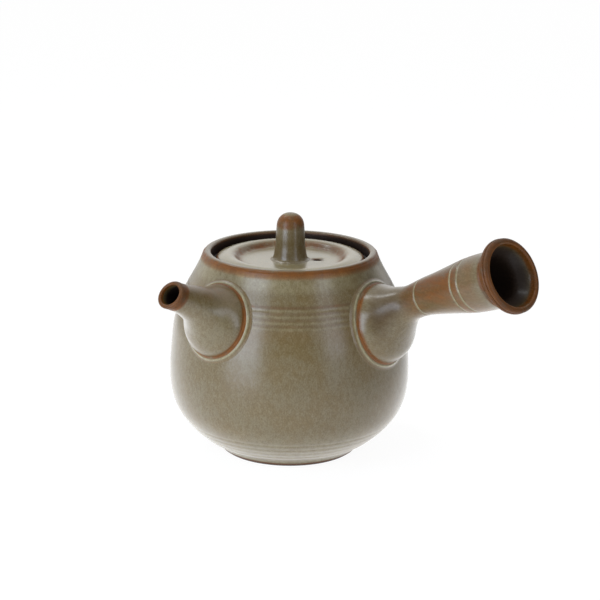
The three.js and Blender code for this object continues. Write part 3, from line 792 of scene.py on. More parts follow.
class SpoutMarks:
    """Glaze masks of the spout, which has no turned lines."""

    # Bands along the spout: their start and end back from the mouth, and their soft ends
    MOUTH = (0, 0.0008, 0.0010)
    BACK = (0.0060, 0.0240, 0.0100)
    LIP_FADE = 0.0020
    # Painted shade in the bore, in the bare clay's dark colour: where it begins to darken, and the depth
    # over which it does
    DRY_START, DRY_DEPTH = 0.0012, 0.0024

    def __init__(self, sizes):
        self.sizes = sizes

    def cuts(self, along):
        return np.zeros_like(along)

    def __call__(self, along, part, root, turns):
        lip = band(along, 0, self.sizes.lip_band, self.LIP_FADE) * (part < BORE)
        edge = band(root, *ROOT_BAND)
        upper = np.clip(np.sin(turns), 0, 1)
        back = 0.35 * upper * band(along, *self.BACK) * (part <= LIP)
        mouth = band(along, *self.MOUTH) * (part == BORE)
        # Painted shade that deepens into the bore
        bore_shade = np.clip((along - self.DRY_START) / self.DRY_DEPTH, 0, 1) * (part == BORE)
        bare = np.maximum(bore_shade, np.where(part == SKIN, 0.2, 0.34) * lip)
        return np.maximum.reduce([lip, edge, back, mouth]), np.zeros_like(along), bare


# Meshes

def mesh_from(name, points, faces, masks):
    """A mesh with its three glaze masks on its points."""
    mesh = bpy.data.meshes.new(name)
    mesh.from_pydata([tuple(p) for p in points], [], faces)
    for index, mask in enumerate(MASKS):
        attribute = mesh.attributes.new(mask, "FLOAT", "POINT")
        attribute.data.foreach_set("value", np.ascontiguousarray(masks[:, index], np.float32))
    return mesh


def ring_mesh(name, points, masks):
    """A skin through rings of points that closes on itself both ways."""
    count_rings, count_around = points.shape[:2]
    i, j = np.meshgrid(np.arange(count_rings), np.arange(count_around), indexing="ij")
    ahead, beside = (i + 1) % count_rings, (j + 1) % count_around
    corners = [i * count_around + j, ahead * count_around + j,
               ahead * count_around + beside, i * count_around + beside]
    faces = np.stack([c.ravel() for c in corners], 1).tolist()
    return mesh_from(name, points.reshape(-1, 3), faces, masks.reshape(-1, 3))


def outline_mesh(name, section):
    """A section of rows as an open line of points in the XZ plane."""
    points = np.column_stack([section[:, 0], np.zeros(len(section)), section[:, 1]])
    mesh = mesh_from(name, points, [], section[:, 2:])
    mesh.edges.add(len(points) - 1)
    pairs = np.column_stack([np.arange(len(points) - 1), np.arange(1, len(points))])
    mesh.edges.foreach_set("vertices", pairs.ravel())
    return mesh


def finished(obj, body, node, material):
    """Turns the faces out, smooths them, keeps real corners and hands the piece to its body."""
    mesh = obj.data
    shell = bmesh.new()
    shell.from_mesh(mesh)
    bmesh.ops.recalc_face_normals(shell, faces=shell.faces)
    if shell.calc_volume(signed=True) < 0:
        bmesh.ops.reverse_faces(shell, faces=shell.faces)
    shell.to_mesh(mesh)
    shell.free()
    mesh.shade_smooth()
    mesh.set_sharp_from_angle(angle=math.radians(SHARP_ANGLE))
    mesh.materials.clear()
    mesh.materials.append(material)
    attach(obj, body)
    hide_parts(node)


def linked(name, mesh):
    obj = bpy.data.objects.new(name, mesh)
    bpy.context.scene.collection.objects.link(obj)
    return obj


def cut_from(obj, cutter):
    """Cuts one closed mesh out of another and deletes the cutter."""
    modifier = obj.modifiers.new("Cut", "BOOLEAN")
    modifier.operation = "DIFFERENCE"
    modifier.solver = "EXACT"
    modifier.object = cutter
    mesh = evaluated_mesh(obj)
    obj.modifiers.remove(modifier)
    old = obj.data
    obj.data = mesh
    bpy.data.meshes.remove(old)
    bpy.data.objects.remove(cutter)


def evaluated_mesh(obj):
    depsgraph = bpy.context.evaluated_depsgraph_get()
    depsgraph.update()
    return bpy.data.meshes.new_from_object(obj.evaluated_get(depsgraph))


def set_along(mesh, middle, direction):
    """Turns a mesh from +Z to a direction and moves it to its place."""
    spin = Vector((0, 0, 1)).rotation_difference(Vector(direction)).to_matrix().to_4x4()
    mesh.transform(Matrix.Translation(Vector(middle)) @ spin)


def rod(name, middle, direction, radius, half_length, sides):
    """A closed rod along a direction."""
    shape = bmesh.new()
    bmesh.ops.create_cone(
        shape, cap_ends=True, segments=sides, radius1=radius, radius2=radius, depth=2 * half_length,
    )
    mesh = bpy.data.meshes.new(name)
    shape.to_mesh(mesh)
    shape.free()
    set_along(mesh, middle, direction)
    return linked(name, mesh)


# Geometry node trees

def add(tree, kind, inputs=None, **settings):
    """A node with its settings, its plain inputs and its links."""
    node = tree.nodes.new(kind)
    for key, value in settings.items():
        setattr(node, key, value)
    for key, value in (inputs or {}).items():
        if isinstance(value, bpy.types.NodeSocket):
            tree.links.new(value, node.inputs[key])
        else:
            node.inputs[key].default_value = value
    return node


def whole(tree, operation, a, b):
    """Whole-number arithmetic on two sockets or numbers."""
    return add(tree, "FunctionNodeIntegerMath", {0: a, 1: b}, operation=operation).outputs[0]


def maths(tree, operation, *values):
    return add(
        tree, "ShaderNodeMath", dict(enumerate(values)), operation=operation,
    ).outputs[0]


def summed(tree, *parts):
    """Sum of sockets, each times its own amount."""
    total = 0.0
    for socket, amount in parts:
        total = add(
            tree, "ShaderNodeMath", {0: socket, 1: amount, 2: total}, operation="MULTIPLY_ADD",
        ).outputs[0]
    return total


def new_tree(name, inputs):
    tree = bpy.data.node_groups.new(name, "GeometryNodeTree")
    tree.interface.new_socket("Geometry", in_out="OUTPUT", socket_type="NodeSocketGeometry")
    for label, kind in inputs:
        tree.interface.new_socket(label, in_out="INPUT", socket_type=kind)
    return tree, tree.nodes.new("NodeGroupInput")


def sampled(tree, geometry, kind, value, index):
    """The value that a geometry holds at one of its points."""
    return add(
        tree, "GeometryNodeSampleIndex", {"Geometry": geometry, "Value": value, "Index": index},
        data_type=kind, domain="POINT",
    ).outputs["Value"]


def with_masks(tree, target, source, index):
    """Stores the source's three glaze masks on the target's points."""
    for mask in MASKS:
        held = add(tree, "GeometryNodeInputNamedAttribute", {"Name": mask}, data_type="FLOAT")
        value = sampled(tree, source, "FLOAT", held.outputs["Attribute"], index)
        target = add(
            tree, "GeometryNodeStoreNamedAttribute",
            {"Geometry": target, "Name": mask, "Value": value}, data_type="FLOAT", domain="POINT",
        ).outputs["Geometry"]
    return target


def finish_tree(tree, geometry, material):
    """Closes the seams, makes real geometry of it and sets its material."""
    merged = add(tree, "GeometryNodeMergeByDistance", {"Geometry": geometry, "Distance": SEAM})
    real = add(tree, "GeometryNodeRealizeInstances", {"Geometry": merged.outputs[0]})
    painted = add(tree, "GeometryNodeSetMaterial", {"Geometry": real.outputs[0], "Material": material})
    output = tree.nodes.new("NodeGroupOutput")
    tree.links.new(painted.outputs[0], output.inputs[0])


def turned_tree():
    """Turns a section's points about the Z axis."""
    tree, given = new_tree("Turned form", (
        ("Section", "NodeSocketGeometry"), ("Around", "NodeSocketInt"),
        ("Material", "NodeSocketMaterial"),
    ))
    section, around = given.outputs["Section"], given.outputs["Around"]
    size = add(tree, "GeometryNodeAttributeDomainSize", {"Geometry": section}, component="MESH")
    number = size.outputs["Point Count"]
    grid = add(tree, "GeometryNodeMeshGrid", {
        "Vertices X": whole(tree, "ADD", around, 1), "Vertices Y": number,
    })
    index = add(tree, "GeometryNodeInputIndex").outputs[0]
    row = whole(tree, "MODULO", index, number)
    column = whole(tree, "DIVIDE_FLOOR", index, number)
    angle = maths(tree, "MULTIPLY", maths(tree, "DIVIDE", column, around), math.tau)
    place = add(tree, "GeometryNodeInputPosition").outputs[0]
    point = sampled(tree, section, "FLOAT_VECTOR", place, row)
    spun = add(
        tree, "ShaderNodeVectorRotate", {"Vector": point, "Angle": angle}, rotation_type="Z_AXIS",
    )
    placed = add(tree, "GeometryNodeSetPosition", {
        "Geometry": grid.outputs["Mesh"], "Position": spun.outputs[0],
    })
    masked = with_masks(tree, placed.outputs[0], section, row)
    finish_tree(tree, masked, given.outputs["Material"])
    return tree


def bead_tree():
    """Runs a section along a closed path whose points hold the directions away and out."""
    tree, given = new_tree("Pressed bead", (
        ("Path", "NodeSocketGeometry"), ("Section", "NodeSocketObject"),
        ("Material", "NodeSocketMaterial"),
    ))
    path = given.outputs["Path"]
    held = add(tree, "GeometryNodeObjectInfo", {"Object": given.outputs["Section"]})
    section = held.outputs["Geometry"]
    numbers = [
        add(tree, "GeometryNodeAttributeDomainSize", {"Geometry": part}, component="MESH")
        .outputs["Point Count"] for part in (path, section)
    ]
    ring = whole(tree, "ADD", numbers[1], 1)
    grid = add(tree, "GeometryNodeMeshGrid", {
        "Vertices X": whole(tree, "ADD", numbers[0], 1), "Vertices Y": ring,
    })
    index = add(tree, "GeometryNodeInputIndex").outputs[0]
    step = whole(tree, "MODULO", whole(tree, "DIVIDE_FLOOR", index, ring), numbers[0])
    corner = whole(tree, "MODULO", whole(tree, "MODULO", index, ring), numbers[1])
    place = add(tree, "GeometryNodeInputPosition").outputs[0]
    point = sampled(tree, path, "FLOAT_VECTOR", place, step)
    across = add(
        tree, "ShaderNodeSeparateXYZ",
        {"Vector": sampled(tree, section, "FLOAT_VECTOR", place, corner)},
    )
    for name, amount in (("away", across.outputs["X"]), ("out", across.outputs["Z"])):
        named = add(
            tree, "GeometryNodeInputNamedAttribute", {"Name": name}, data_type="FLOAT_VECTOR",
        )
        direction = sampled(tree, path, "FLOAT_VECTOR", named.outputs["Attribute"], step)
        scaled = add(
            tree, "ShaderNodeVectorMath", {"Vector": direction, "Scale": amount}, operation="SCALE",
        )
        point = add(
            tree, "ShaderNodeVectorMath", {0: point, 1: scaled.outputs[0]}, operation="ADD",
        ).outputs[0]
    placed = add(tree, "GeometryNodeSetPosition", {
        "Geometry": grid.outputs["Mesh"], "Position": point,
    })
    masked = with_masks(tree, placed.outputs[0], section, corner)
    finish_tree(tree, masked, given.outputs["Material"])
    return tree


def pierced_tree():
    """Drills rings of holes through a dome, square to its surface."""
    tree, given = new_tree("Pierced dome", (
        ("Dome", "NodeSocketGeometry"), ("Radius", "NodeSocketFloat"),
        ("Hole Radius", "NodeSocketFloat"), ("Hole Pitch", "NodeSocketFloat"),
        ("Rings", "NodeSocketInt"), ("Per Ring", "NodeSocketInt"),
        ("Material", "NodeSocketMaterial"),
    ))
    radius, per_ring = given.outputs["Radius"], given.outputs["Per Ring"]
    rings = given.outputs["Rings"]
    slots = whole(tree, "MULTIPLY", whole(tree, "MULTIPLY", rings, rings), per_ring)
    points = add(tree, "GeometryNodePoints", {"Count": slots})
    index = add(tree, "GeometryNodeInputIndex").outputs[0]
    per_row = whole(tree, "MULTIPLY", rings, per_ring)
    ring = whole(tree, "DIVIDE_FLOOR", index, per_row)
    hole = whole(tree, "MODULO", index, per_row)
    in_ring = whole(tree, "MAXIMUM", whole(tree, "MULTIPLY", ring, per_ring), 1)
    used = add(
        tree, "FunctionNodeCompare", {2: hole, 3: in_ring}, data_type="INT",
        operation="LESS_THAN",
    )
    lean = maths(tree, "MULTIPLY", ring, given.outputs["Hole Pitch"])
    around = maths(tree, "MULTIPLY", maths(tree, "DIVIDE", hole, in_ring), math.tau)
    leaning = add(tree, "ShaderNodeCombineXYZ", {"Y": lean, "Z": around})
    drill = add(tree, "GeometryNodeMeshCylinder", {
        "Vertices": STRAINER_SIDES, "Radius": given.outputs["Hole Radius"], "Depth": radius,
    })
    raised = add(tree, "GeometryNodeTransform", {
        "Geometry": drill.outputs["Mesh"],
        "Translation": add(tree, "ShaderNodeCombineXYZ", {"Z": radius}).outputs[0],
    })
    drills = add(tree, "GeometryNodeInstanceOnPoints", {
        "Points": points.outputs[0], "Selection": used.outputs[0], "Instance": raised.outputs[0],
        "Rotation": add(tree, "FunctionNodeEulerToRotation", {"Euler": leaning.outputs[0]}).outputs[0],
    })
    bores = add(tree, "GeometryNodeRealizeInstances", {"Geometry": drills.outputs[0]})
    pierced = add(tree, "GeometryNodeMeshBoolean", operation="DIFFERENCE", solver="EXACT")
    tree.links.new(given.outputs["Dome"], pierced.inputs["Mesh 1"])
    tree.links.new(bores.outputs[0], pierced.inputs["Mesh 2"])
    finish_tree(tree, pierced.outputs["Mesh"], given.outputs["Material"])
    return tree


def grown(name, mesh, tree, values):
    """The mesh that a node tree makes from a starting one, with its inputs set by name."""
    helper = linked(name + "_start", mesh)
    modifier = helper.modifiers.new("Form", "NODES")
    modifier.node_group = tree
    for item in tree.interface.items_tree:
        if item.in_out == "INPUT" and item.name in values:
            modifier[item.identifier] = values[item.name]
    made = evaluated_mesh(helper)
    helper.modifiers.remove(modifier)
    bpy.data.objects.remove(helper)
    made.name = name
    return linked(name, made)


# Shader groups and materials

# How much of the finer noise lies in the grain
GRAIN_ROUGHNESS = 0.55
# Roughness of the satin from drift to drift, and what rust and bare clay add to it
SATIN_ROUGHNESS, RUST_ROUGHNESS, BARE_ROUGHNESS = (0.35, 0.41), 0.10, 0.15
# Shares of the gloss that rust and bare clay take away
RUST_DULLING, BARE_DULLING = 0.8, 0.8
# Seed of each glaze's grain, and how its coordinates are stretched
BODY_SEED, BODY_STRETCH = 0.0, (1.0, 1.0, 0.6)
HANDLE_SEED, HANDLE_STRETCH = 7.0, (0.45, 1.0, 1.0)
LID_SEED, LID_STRETCH = 3.0, (1.0, 1.0, 1.0)


def shader_group(name, inputs, outputs):
    group = bpy.data.node_groups.new(name, "ShaderNodeTree")
    for label, kind, value in inputs:
        socket = group.interface.new_socket(label, in_out="INPUT", socket_type=kind)
        socket.default_value = value
    for label, kind in outputs:
        group.interface.new_socket(label, in_out="OUTPUT", socket_type=kind)
    return group, group.nodes.new("NodeGroupInput").outputs, group.nodes.new("NodeGroupOutput").inputs


def blended(tree, factor, a, b):
    """A colour between two."""
    return add(
        tree, "ShaderNodeMix", {"Factor": factor, 6: a, 7: b}, data_type="RGBA",
    ).outputs[2]


def grain(tree, scale, detail, seed, coordinates):
    """Noise from 0 to 1 on the object's own coordinates; the seed is a fourth coordinate."""
    return add(
        tree, "ShaderNodeTexNoise",
        {"Vector": coordinates, "W": seed, "Scale": scale, "Detail": detail,
         "Roughness": GRAIN_ROUGHNESS},
        noise_dimensions="4D",
    ).outputs[0]


def spread(tree, value, low, high, to_low=0.0, to_high=1.0):
    """A value's range stretched to another, with soft ends."""
    return add(
        tree, "ShaderNodeMapRange",
        {"Value": value, "From Min": low, "From Max": high, "To Min": to_low, "To Max": to_high},
        interpolation_type="SMOOTHSTEP",
    ).outputs[0]


def glaze_group():
    """Glaze that drifts in tone, breaks to rust where it runs thin and pools pale where it lies thick."""
    colours = ("Ground", "Cloud", "Thin", "Thick", "Bare")
    inputs = [(label, "NodeSocketColor", (0.5, 0.5, 0.5, 1)) for label in colours]
    inputs += [
        ("Thin Mask", "NodeSocketFloat", 0.0), ("Thick Mask", "NodeSocketFloat", 0.0),
        ("Bare Mask", "NodeSocketFloat", 0.0), ("Cloud Scale", "NodeSocketFloat", 60.0),
        ("Mottle Scale", "NodeSocketFloat", 600.0), ("Speck Scale", "NodeSocketFloat", 2200.0),
        ("Seed", "NodeSocketFloat", 0.0), ("Stretch", "NodeSocketVector", (1.0, 1.0, 1.0)),
        ("Gloss", "NodeSocketFloat", 0.5),
    ]
    outputs = (("Colour", "NodeSocketColor"), ("Roughness", "NodeSocketFloat"),
               ("Coat", "NodeSocketFloat"), ("Height", "NodeSocketFloat"))
    tree, given, result = shader_group("Broken Glaze", inputs, outputs)
    place = tree.nodes.new("ShaderNodeTexCoord").outputs["Object"]
    run = add(
        tree, "ShaderNodeVectorMath", {0: place, 1: given["Stretch"]}, operation="MULTIPLY",
    ).outputs[0]
    seed = given["Seed"]
    cloud = grain(tree, given["Cloud Scale"], 3.0, seed, place)
    mottle = grain(tree, given["Mottle Scale"], 2.0, seed, run)
    speck = grain(tree, given["Speck Scale"], 1.0, seed, run)
    # Drift and grain in the hue, and a little in the lightness
    drift = summed(tree, (cloud, 0.4), (mottle, 0.35), (speck, 0.25))
    tone = blended(tree, spread(tree, drift, 0.4, 0.6), given["Ground"], given["Cloud"])
    patch = grain(tree, maths(tree, "MULTIPLY", given["Cloud Scale"], 3.4), 2.0, seed, run)
    uneven = maths(tree, "SUBTRACT", summed(tree, (mottle, 1.2), (patch, 2.0)), 0.6)
    uneven = maths(tree, "MAXIMUM", uneven, 0.0)
    broken = maths(tree, "MULTIPLY", given["Thin Mask"], uneven)
    thin = spread(tree, broken, -0.1, 1.0)
    pooled = maths(tree, "MULTIPLY", given["Thick Mask"], uneven)
    tone = blended(tree, thin, tone, given["Thin"])
    tone = blended(tree, maths(tree, "MINIMUM", pooled, 1.0), tone, given["Thick"])
    # Bare clay, and the painted shade that shares its mask and colour
    tone = blended(tree, given["Bare Mask"], tone, given["Bare"])
    # Light and dark grain over all of it, and wider drifts in the rust
    rusty = maths(tree, "MULTIPLY", maths(tree, "SUBTRACT", patch, 0.5), thin)
    light = maths(tree, "ADD", summed(tree, (mottle, 0.34), (speck, 0.66), (rusty, 1.0)), 0.5)
    shade = add(tree, "ShaderNodeCombineColor", {0: light, 1: light, 2: light}).outputs[0]
    tone = add(
        tree, "ShaderNodeMix", {"Factor": 1.0, 6: tone, 7: shade}, data_type="RGBA",
        blend_type="MULTIPLY",
    ).outputs[2]
    bare = given["Bare Mask"]
    rough = spread(tree, cloud, 0.3, 0.7, *SATIN_ROUGHNESS)
    rough = maths(tree, "ADD", rough, summed(tree, (thin, RUST_ROUGHNESS), (bare, BARE_ROUGHNESS)))
    # Little gloss on rust and on bare clay
    shine = maths(tree, "SUBTRACT", 1.0, maths(tree, "MULTIPLY", thin, RUST_DULLING))
    shine = maths(tree, "MULTIPLY", shine, spread(tree, bare, 0.0, 1.0, 1.0, 1 - BARE_DULLING))
    tree.links.new(tone, result["Colour"])
    tree.links.new(rough, result["Roughness"])
    tree.links.new(maths(tree, "MULTIPLY", shine, given["Gloss"]), result["Coat"])
    tree.links.new(maths(tree, "ADD", mottle, maths(tree, "MULTIPLY", speck, 0.4)), result["Height"])
    return tree


def glaze_material(name, glaze, ground, cloud, seed, stretch, gloss, gloss_blur, satin_level):
    """A satin glaze that reads the piece's own three masks."""
    material = bpy.data.materials.new(name)
    material.use_nodes = True
    tree = material.node_tree
    shader = tree.nodes["Principled BSDF"]
    inputs = {
        "Ground": (*ground, 1), "Cloud": (*cloud, 1), "Thin": (*glaze.thin, 1),
        "Thick": (*glaze.thick, 1), "Bare": (*glaze.bare, 1), "Seed": seed,
        "Stretch": stretch, "Gloss": gloss,
        "Cloud Scale": 1 / glaze.cloud_size, "Mottle Scale": 1 / glaze.mottle_size,
        "Speck Scale": 1 / glaze.speck_size,
    }
    for mask in MASKS:
        held = add(tree, "ShaderNodeAttribute", attribute_name=mask)
        inputs[mask.title() + " Mask"] = held.outputs["Fac"]
    group = tree.nodes.new("ShaderNodeGroup")
    group.node_tree = bpy.data.node_groups.get("Broken Glaze") or glaze_group()
    for key, value in inputs.items():
        if isinstance(value, bpy.types.NodeSocket):
            tree.links.new(value, group.inputs[key])
        else:
            group.inputs[key].default_value = value
    bump = add(tree, "ShaderNodeBump", {
        "Height": group.outputs["Height"], "Strength": glaze.bump, "Distance": glaze.bump_height,
    })
    tree.links.new(group.outputs["Colour"], shader.inputs["Base Color"])
    tree.links.new(group.outputs["Roughness"], shader.inputs["Roughness"])
    tree.links.new(group.outputs["Coat"], shader.inputs["Coat Weight"])
    tree.links.new(bump.outputs[0], shader.inputs["Normal"])
    shader.inputs["IOR"].default_value = glaze.index
    shader.inputs["Specular IOR Level"].default_value = satin_level
    shader.inputs["Coat Roughness"].default_value = gloss_blur
    return material


def satin(settings, name="Satin Glaze", seed=BODY_SEED, stretch=BODY_STRETCH):
    """The body's glaze; its grain runs down the pot, or along a drawn-out piece."""
    glaze = settings.glaze
    return bpy.data.materials.get(name) or glaze_material(
        name, glaze, glaze.ground, glaze.cloud, seed, stretch,
        glaze.gloss, glaze.gloss_blur, glaze.satin,
    )


def pale_satin(settings):
    """The lid's paler and glossier glaze."""
    glaze = settings.glaze
    return bpy.data.materials.get("Pale Glaze") or glaze_material(
        "Pale Glaze", glaze, glaze.lid_ground, glaze.lid_cloud, LID_SEED, LID_STRETCH,
        glaze.lid_gloss, glaze.lid_gloss_blur, glaze.lid_satin,
    )


# Operators

def way_through(pot):
    """Where the way into the spout leaves the bowl, and its direction."""
    height = seat_height(pot) - pot.way_drop
    reach = float(PotCurve(pot)(height)) - pot.wall
    return Vector((0, -reach, height)), Vector((0, -math.cos(pot.way_lift), math.sin(pot.way_lift)))


class TEAPOT_OT_throw_pot(bpy.types.Operator):
    """Turn the pot with its lines, rim, gallery and seat, and open the way into the spout"""
    bl_idname = "teapot.throw_pot"
    bl_label = "Throw Pot"

    def execute(self, context):
        settings = context.scene.teapot
        pot = settings.pot
        material = satin(settings)
        section = outline_mesh("pot_section", pot_section(pot, settings.bands, settings.lines))
        obj = grown("pot_shell", section, turned_tree(), {"Around": pot.around, "Material": material})
        middle, outward = way_through(pot)
        cut_from(obj, rod("way", middle, outward, pot.way_radius, 2 * pot.wall, WAY_SIDES))
        finished(obj, "pot", "pot_body", material)
        return {"FINISHED"}


class TEAPOT_OT_turn_lid(bpy.types.Operator):
    """Turn the lid with its sunken middle and flange, and bore its steam hole"""
    bl_idname = "teapot.turn_lid"
    bl_label = "Turn Lid"

    def execute(self, context):
        settings = context.scene.teapot
        lid = settings.lid
        material = pale_satin(settings)
        section = outline_mesh("lid_section", lid_section(lid, settings.pot))
        obj = grown("lid_disc", section, turned_tree(), {
            "Around": settings.pot.around, "Material": material,
        })
        spot = lid.vent_distance * np.array([math.cos(lid.vent_turn), math.sin(lid.vent_turn)])
        top = (*spot, lid.dish_height)
        cut_from(obj, rod("vent", top, (0, 0, 1), lid.vent_radius, 2 * lid.plate, VENT_SIDES))
        mark_vent(obj.data, spot, lid)
        finished(obj, "lid", "lid", material)
        return {"FINISHED"}


def mark_vent(mesh, spot, lid):
    """Breaks the glaze round the steam hole, and sinks its edge a little."""
    places = np.empty(len(mesh.vertices) * 3, np.float32)
    mesh.vertices.foreach_get("co", places)
    places = places.reshape(-1, 3)
    away = np.hypot(places[:, 0] - spot[0], places[:, 1] - spot[1]) - lid.vent_radius
    top = places[:, 2] > lid.dish_height - lid.plate / 2
    near = ridge(np.maximum(away, 0), 0, lid.vent_bevel) * top
    places[:, 2] -= (lid.vent_bevel * lid.vent_sink * near).astype(np.float32)
    mesh.vertices.foreach_set("co", places.ravel())
    dry = lid.vent_dry * near * (away < lid.vent_bevel / 3)
    for mask, amount in (("thin", near), ("bare", dry)):
        values = np.empty(len(mesh.vertices), np.float32)
        mesh.attributes[mask].data.foreach_get("value", values)
        mesh.attributes[mask].data.foreach_set("value", np.maximum(values, amount).astype(np.float32))


class TEAPOT_OT_turn_knob(bpy.types.Operator):
    """Turn the tall knob that stands in the lid"""
    bl_idname = "teapot.turn_knob"
    bl_label = "Turn Knob"

    def execute(self, context):
        settings = context.scene.teapot
        material = satin(settings)
        section = outline_mesh("knob_section", knob_section(settings.knob, settings.lid))
        obj = grown("knob", section, turned_tree(), {"Around": KNOB_AROUND, "Material": material})
        finished(obj, "lid", "lid_knob", material)
        return {"FINISHED"}


def handle_branch(settings):
    return Branch(settings.handle, HANDLE_SHARES, settings.pot)


def spout_branch(settings):
    return Branch(settings.spout, SPOUT_SHARES, settings.pot)


def drawn_tube(name, branch, lip_shares, around, marks):
    """A branch's whole skin as a piece."""
    turns = np.linspace(0, math.tau, around, endpoint=False)
    points, masks = tube_surface(branch, lip_shares, turns, marks)
    return linked(name, ring_mesh(name, points, masks))


class TEAPOT_OT_draw_handle(bpy.types.Operator):
    """Draw the hollow handle with its bulb, its incised rings and its rolled lip"""
    bl_idname = "teapot.draw_handle"
    bl_label = "Draw Handle"

    def execute(self, context):
        settings = context.scene.teapot
        obj = drawn_tube(
            "handle_tube", handle_branch(settings), HANDLE_LIP_SHARES, HANDLE_AROUND,
            HandleMarks(settings.handle),
        )
        material = satin(settings, "Handle Glaze", HANDLE_SEED, HANDLE_STRETCH)
        finished(obj, "pot", "handle", material)
        return {"FINISHED"}


class TEAPOT_OT_draw_spout(bpy.types.Operator):
    """Draw the short spout with its bell and its rounded tip"""
    bl_idname = "teapot.draw_spout"
    bl_label = "Draw Spout"

    def execute(self, context):
        settings = context.scene.teapot
        obj = drawn_tube(
            "spout_tube", spout_branch(settings), SPOUT_LIP_SHARES, SPOUT_AROUND,
            SpoutMarks(settings.spout),
        )
        finished(obj, "pot", "spout", satin(settings))
        return {"FINISHED"}


def bead_path(branch, around):
    """Closed path where a branch meets the pot, with the directions away from it and out."""
    turns = np.linspace(0, math.tau, around, endpoint=False)
    along = branch.joint(turns)
    points = branch.place(along, branch.radius(along), turns)
    out = branch.curve.normal(points)
    run = np.roll(points, -1, 0) - np.roll(points, 1, 0)
    away = np.cross(run, out)
    away /= np.linalg.norm(away, axis=1)[:, None]
    away *= np.sign(np.sum(away * (points - points.mean(0)), 1))[:, None]
    mesh = bpy.data.meshes.new("bead_path")
    mesh.from_pydata([tuple(p) for p in points], [], [])
    for name, vectors in (("away", away), ("out", out)):
        attribute = mesh.attributes.new(name, "FLOAT_VECTOR", "POINT")
        attribute.data.foreach_set("vector", np.ascontiguousarray(vectors, np.float32).ravel())
    return mesh


def bead_section(width, height):
    """A bead's cross-section, rusty at its inner side and pooled on its back, with painted shade in the
    crease at its outer foot.
    """
    points = [(width * out, height * up) for out, up in BEAD_SHARES]
    points = smooth_path(points, BEAD_STEPS)[:-1]
    out = points[:, 0] / width
    inner = np.clip(1 - 3 * out, 0, 1)
    # Painted shade, brownish, in the crease where the bead's outer side meets the pot
    outer = band(out, 1.1, 1.3, 0.3)
    back = band(out, 0.3, 0.62, 0.2)
    return rows(points, thin=np.maximum(0.9 * inner, 0.2 * outer), thick=0.9 * back)


class TEAPOT_OT_press_beads(bpy.types.Operator):
    """Press a bead of slip round the roots of the handle and the spout"""
    bl_idname = "teapot.press_beads"
    bl_label = "Press Beads"

    def execute(self, context):
        settings = context.scene.teapot
        beads = settings.beads
        tree = bead_tree()
        material = satin(settings)
        for name, node, branch, width, height in (
            ("handle_bead", "handle_seam", handle_branch(settings), beads.handle_width, beads.handle_height),
            ("spout_bead", "spout_seam", spout_branch(settings), beads.spout_width, beads.spout_height),
        ):
            section = linked("bead_section", outline_mesh("bead_section", bead_section(width, height)))
            obj = grown(name, bead_path(branch, beads.around), tree, {
                "Section": section, "Material": material,
            })
            bpy.data.objects.remove(section)
            finished(obj, "pot", node, material)
        return {"FINISHED"}


class TEAPOT_OT_pierce_strainer(bpy.types.Operator):
    """Turn the small dome behind the spout and pierce its rings of holes"""
    bl_idname = "teapot.pierce_strainer"
    bl_label = "Pierce Strainer"

    def execute(self, context):
        settings = context.scene.teapot
        pot, strainer = settings.pot, settings.strainer
        material = satin(settings)
        section = outline_mesh("dome_section", dome_section(strainer))
        dome = grown("dome", section, turned_tree(), {"Around": DOME_AROUND, "Material": material})
        obj = grown("strainer_dome", dome.data, pierced_tree(), {
            "Radius": strainer.radius, "Hole Radius": strainer.hole_radius,
            "Hole Pitch": strainer.hole_pitch, "Rings": strainer.rings,
            "Per Ring": strainer.per_ring, "Material": material,
        })
        bpy.data.objects.remove(dome)
        middle, outward = way_through(pot)
        set_along(obj.data, middle, -outward)
        beyond = outline_mesh("outside_section", outside_section(pot))
        cut_from(obj, grown("beyond", beyond, turned_tree(), {
            "Around": TRIM_AROUND, "Material": material,
        }))
        bare = obj.data.attributes["bare"]
        bare.data.foreach_set("value", np.ones(len(obj.data.vertices), np.float32))
        finished(obj, "pot", "spout_strainer", material)
        return {"FINISHED"}


class TEAPOT_OT_set_studio(bpy.types.Operator):
    """Lay the pale floor, hang the softboxes and place the camera"""
    bl_idname = "teapot.set_studio"
    bl_label = "Set Studio"

    def execute(self, context):
        studio = context.scene.teapot.studio
        make_floor(studio)
        make_world(studio)
        make_lamps(studio)
        make_camera(studio)
        context.scene.view_settings.view_transform = "Standard"
        return {"FINISHED"}


def dotted(tree, socket, direction):
    """How far a vector reaches along a direction."""
    return add(
        tree, "ShaderNodeVectorMath", {0: socket, 1: direction}, operation="DOT_PRODUCT",
    ).outputs["Value"]


def sight(studio):
    """The camera's look and the direction to its right."""
    look = (Vector(studio.camera_aim) - Vector(studio.camera_place)).normalized()
    return look, look.cross((0, 0, 1)).normalized()


def straight_ray(tree, path):
    """1 where the camera sees a surface without a reflection."""
    return maths(
        tree, "MAXIMUM", path.outputs["Is Camera Ray"], path.outputs["Is Transmission Ray"],
    )


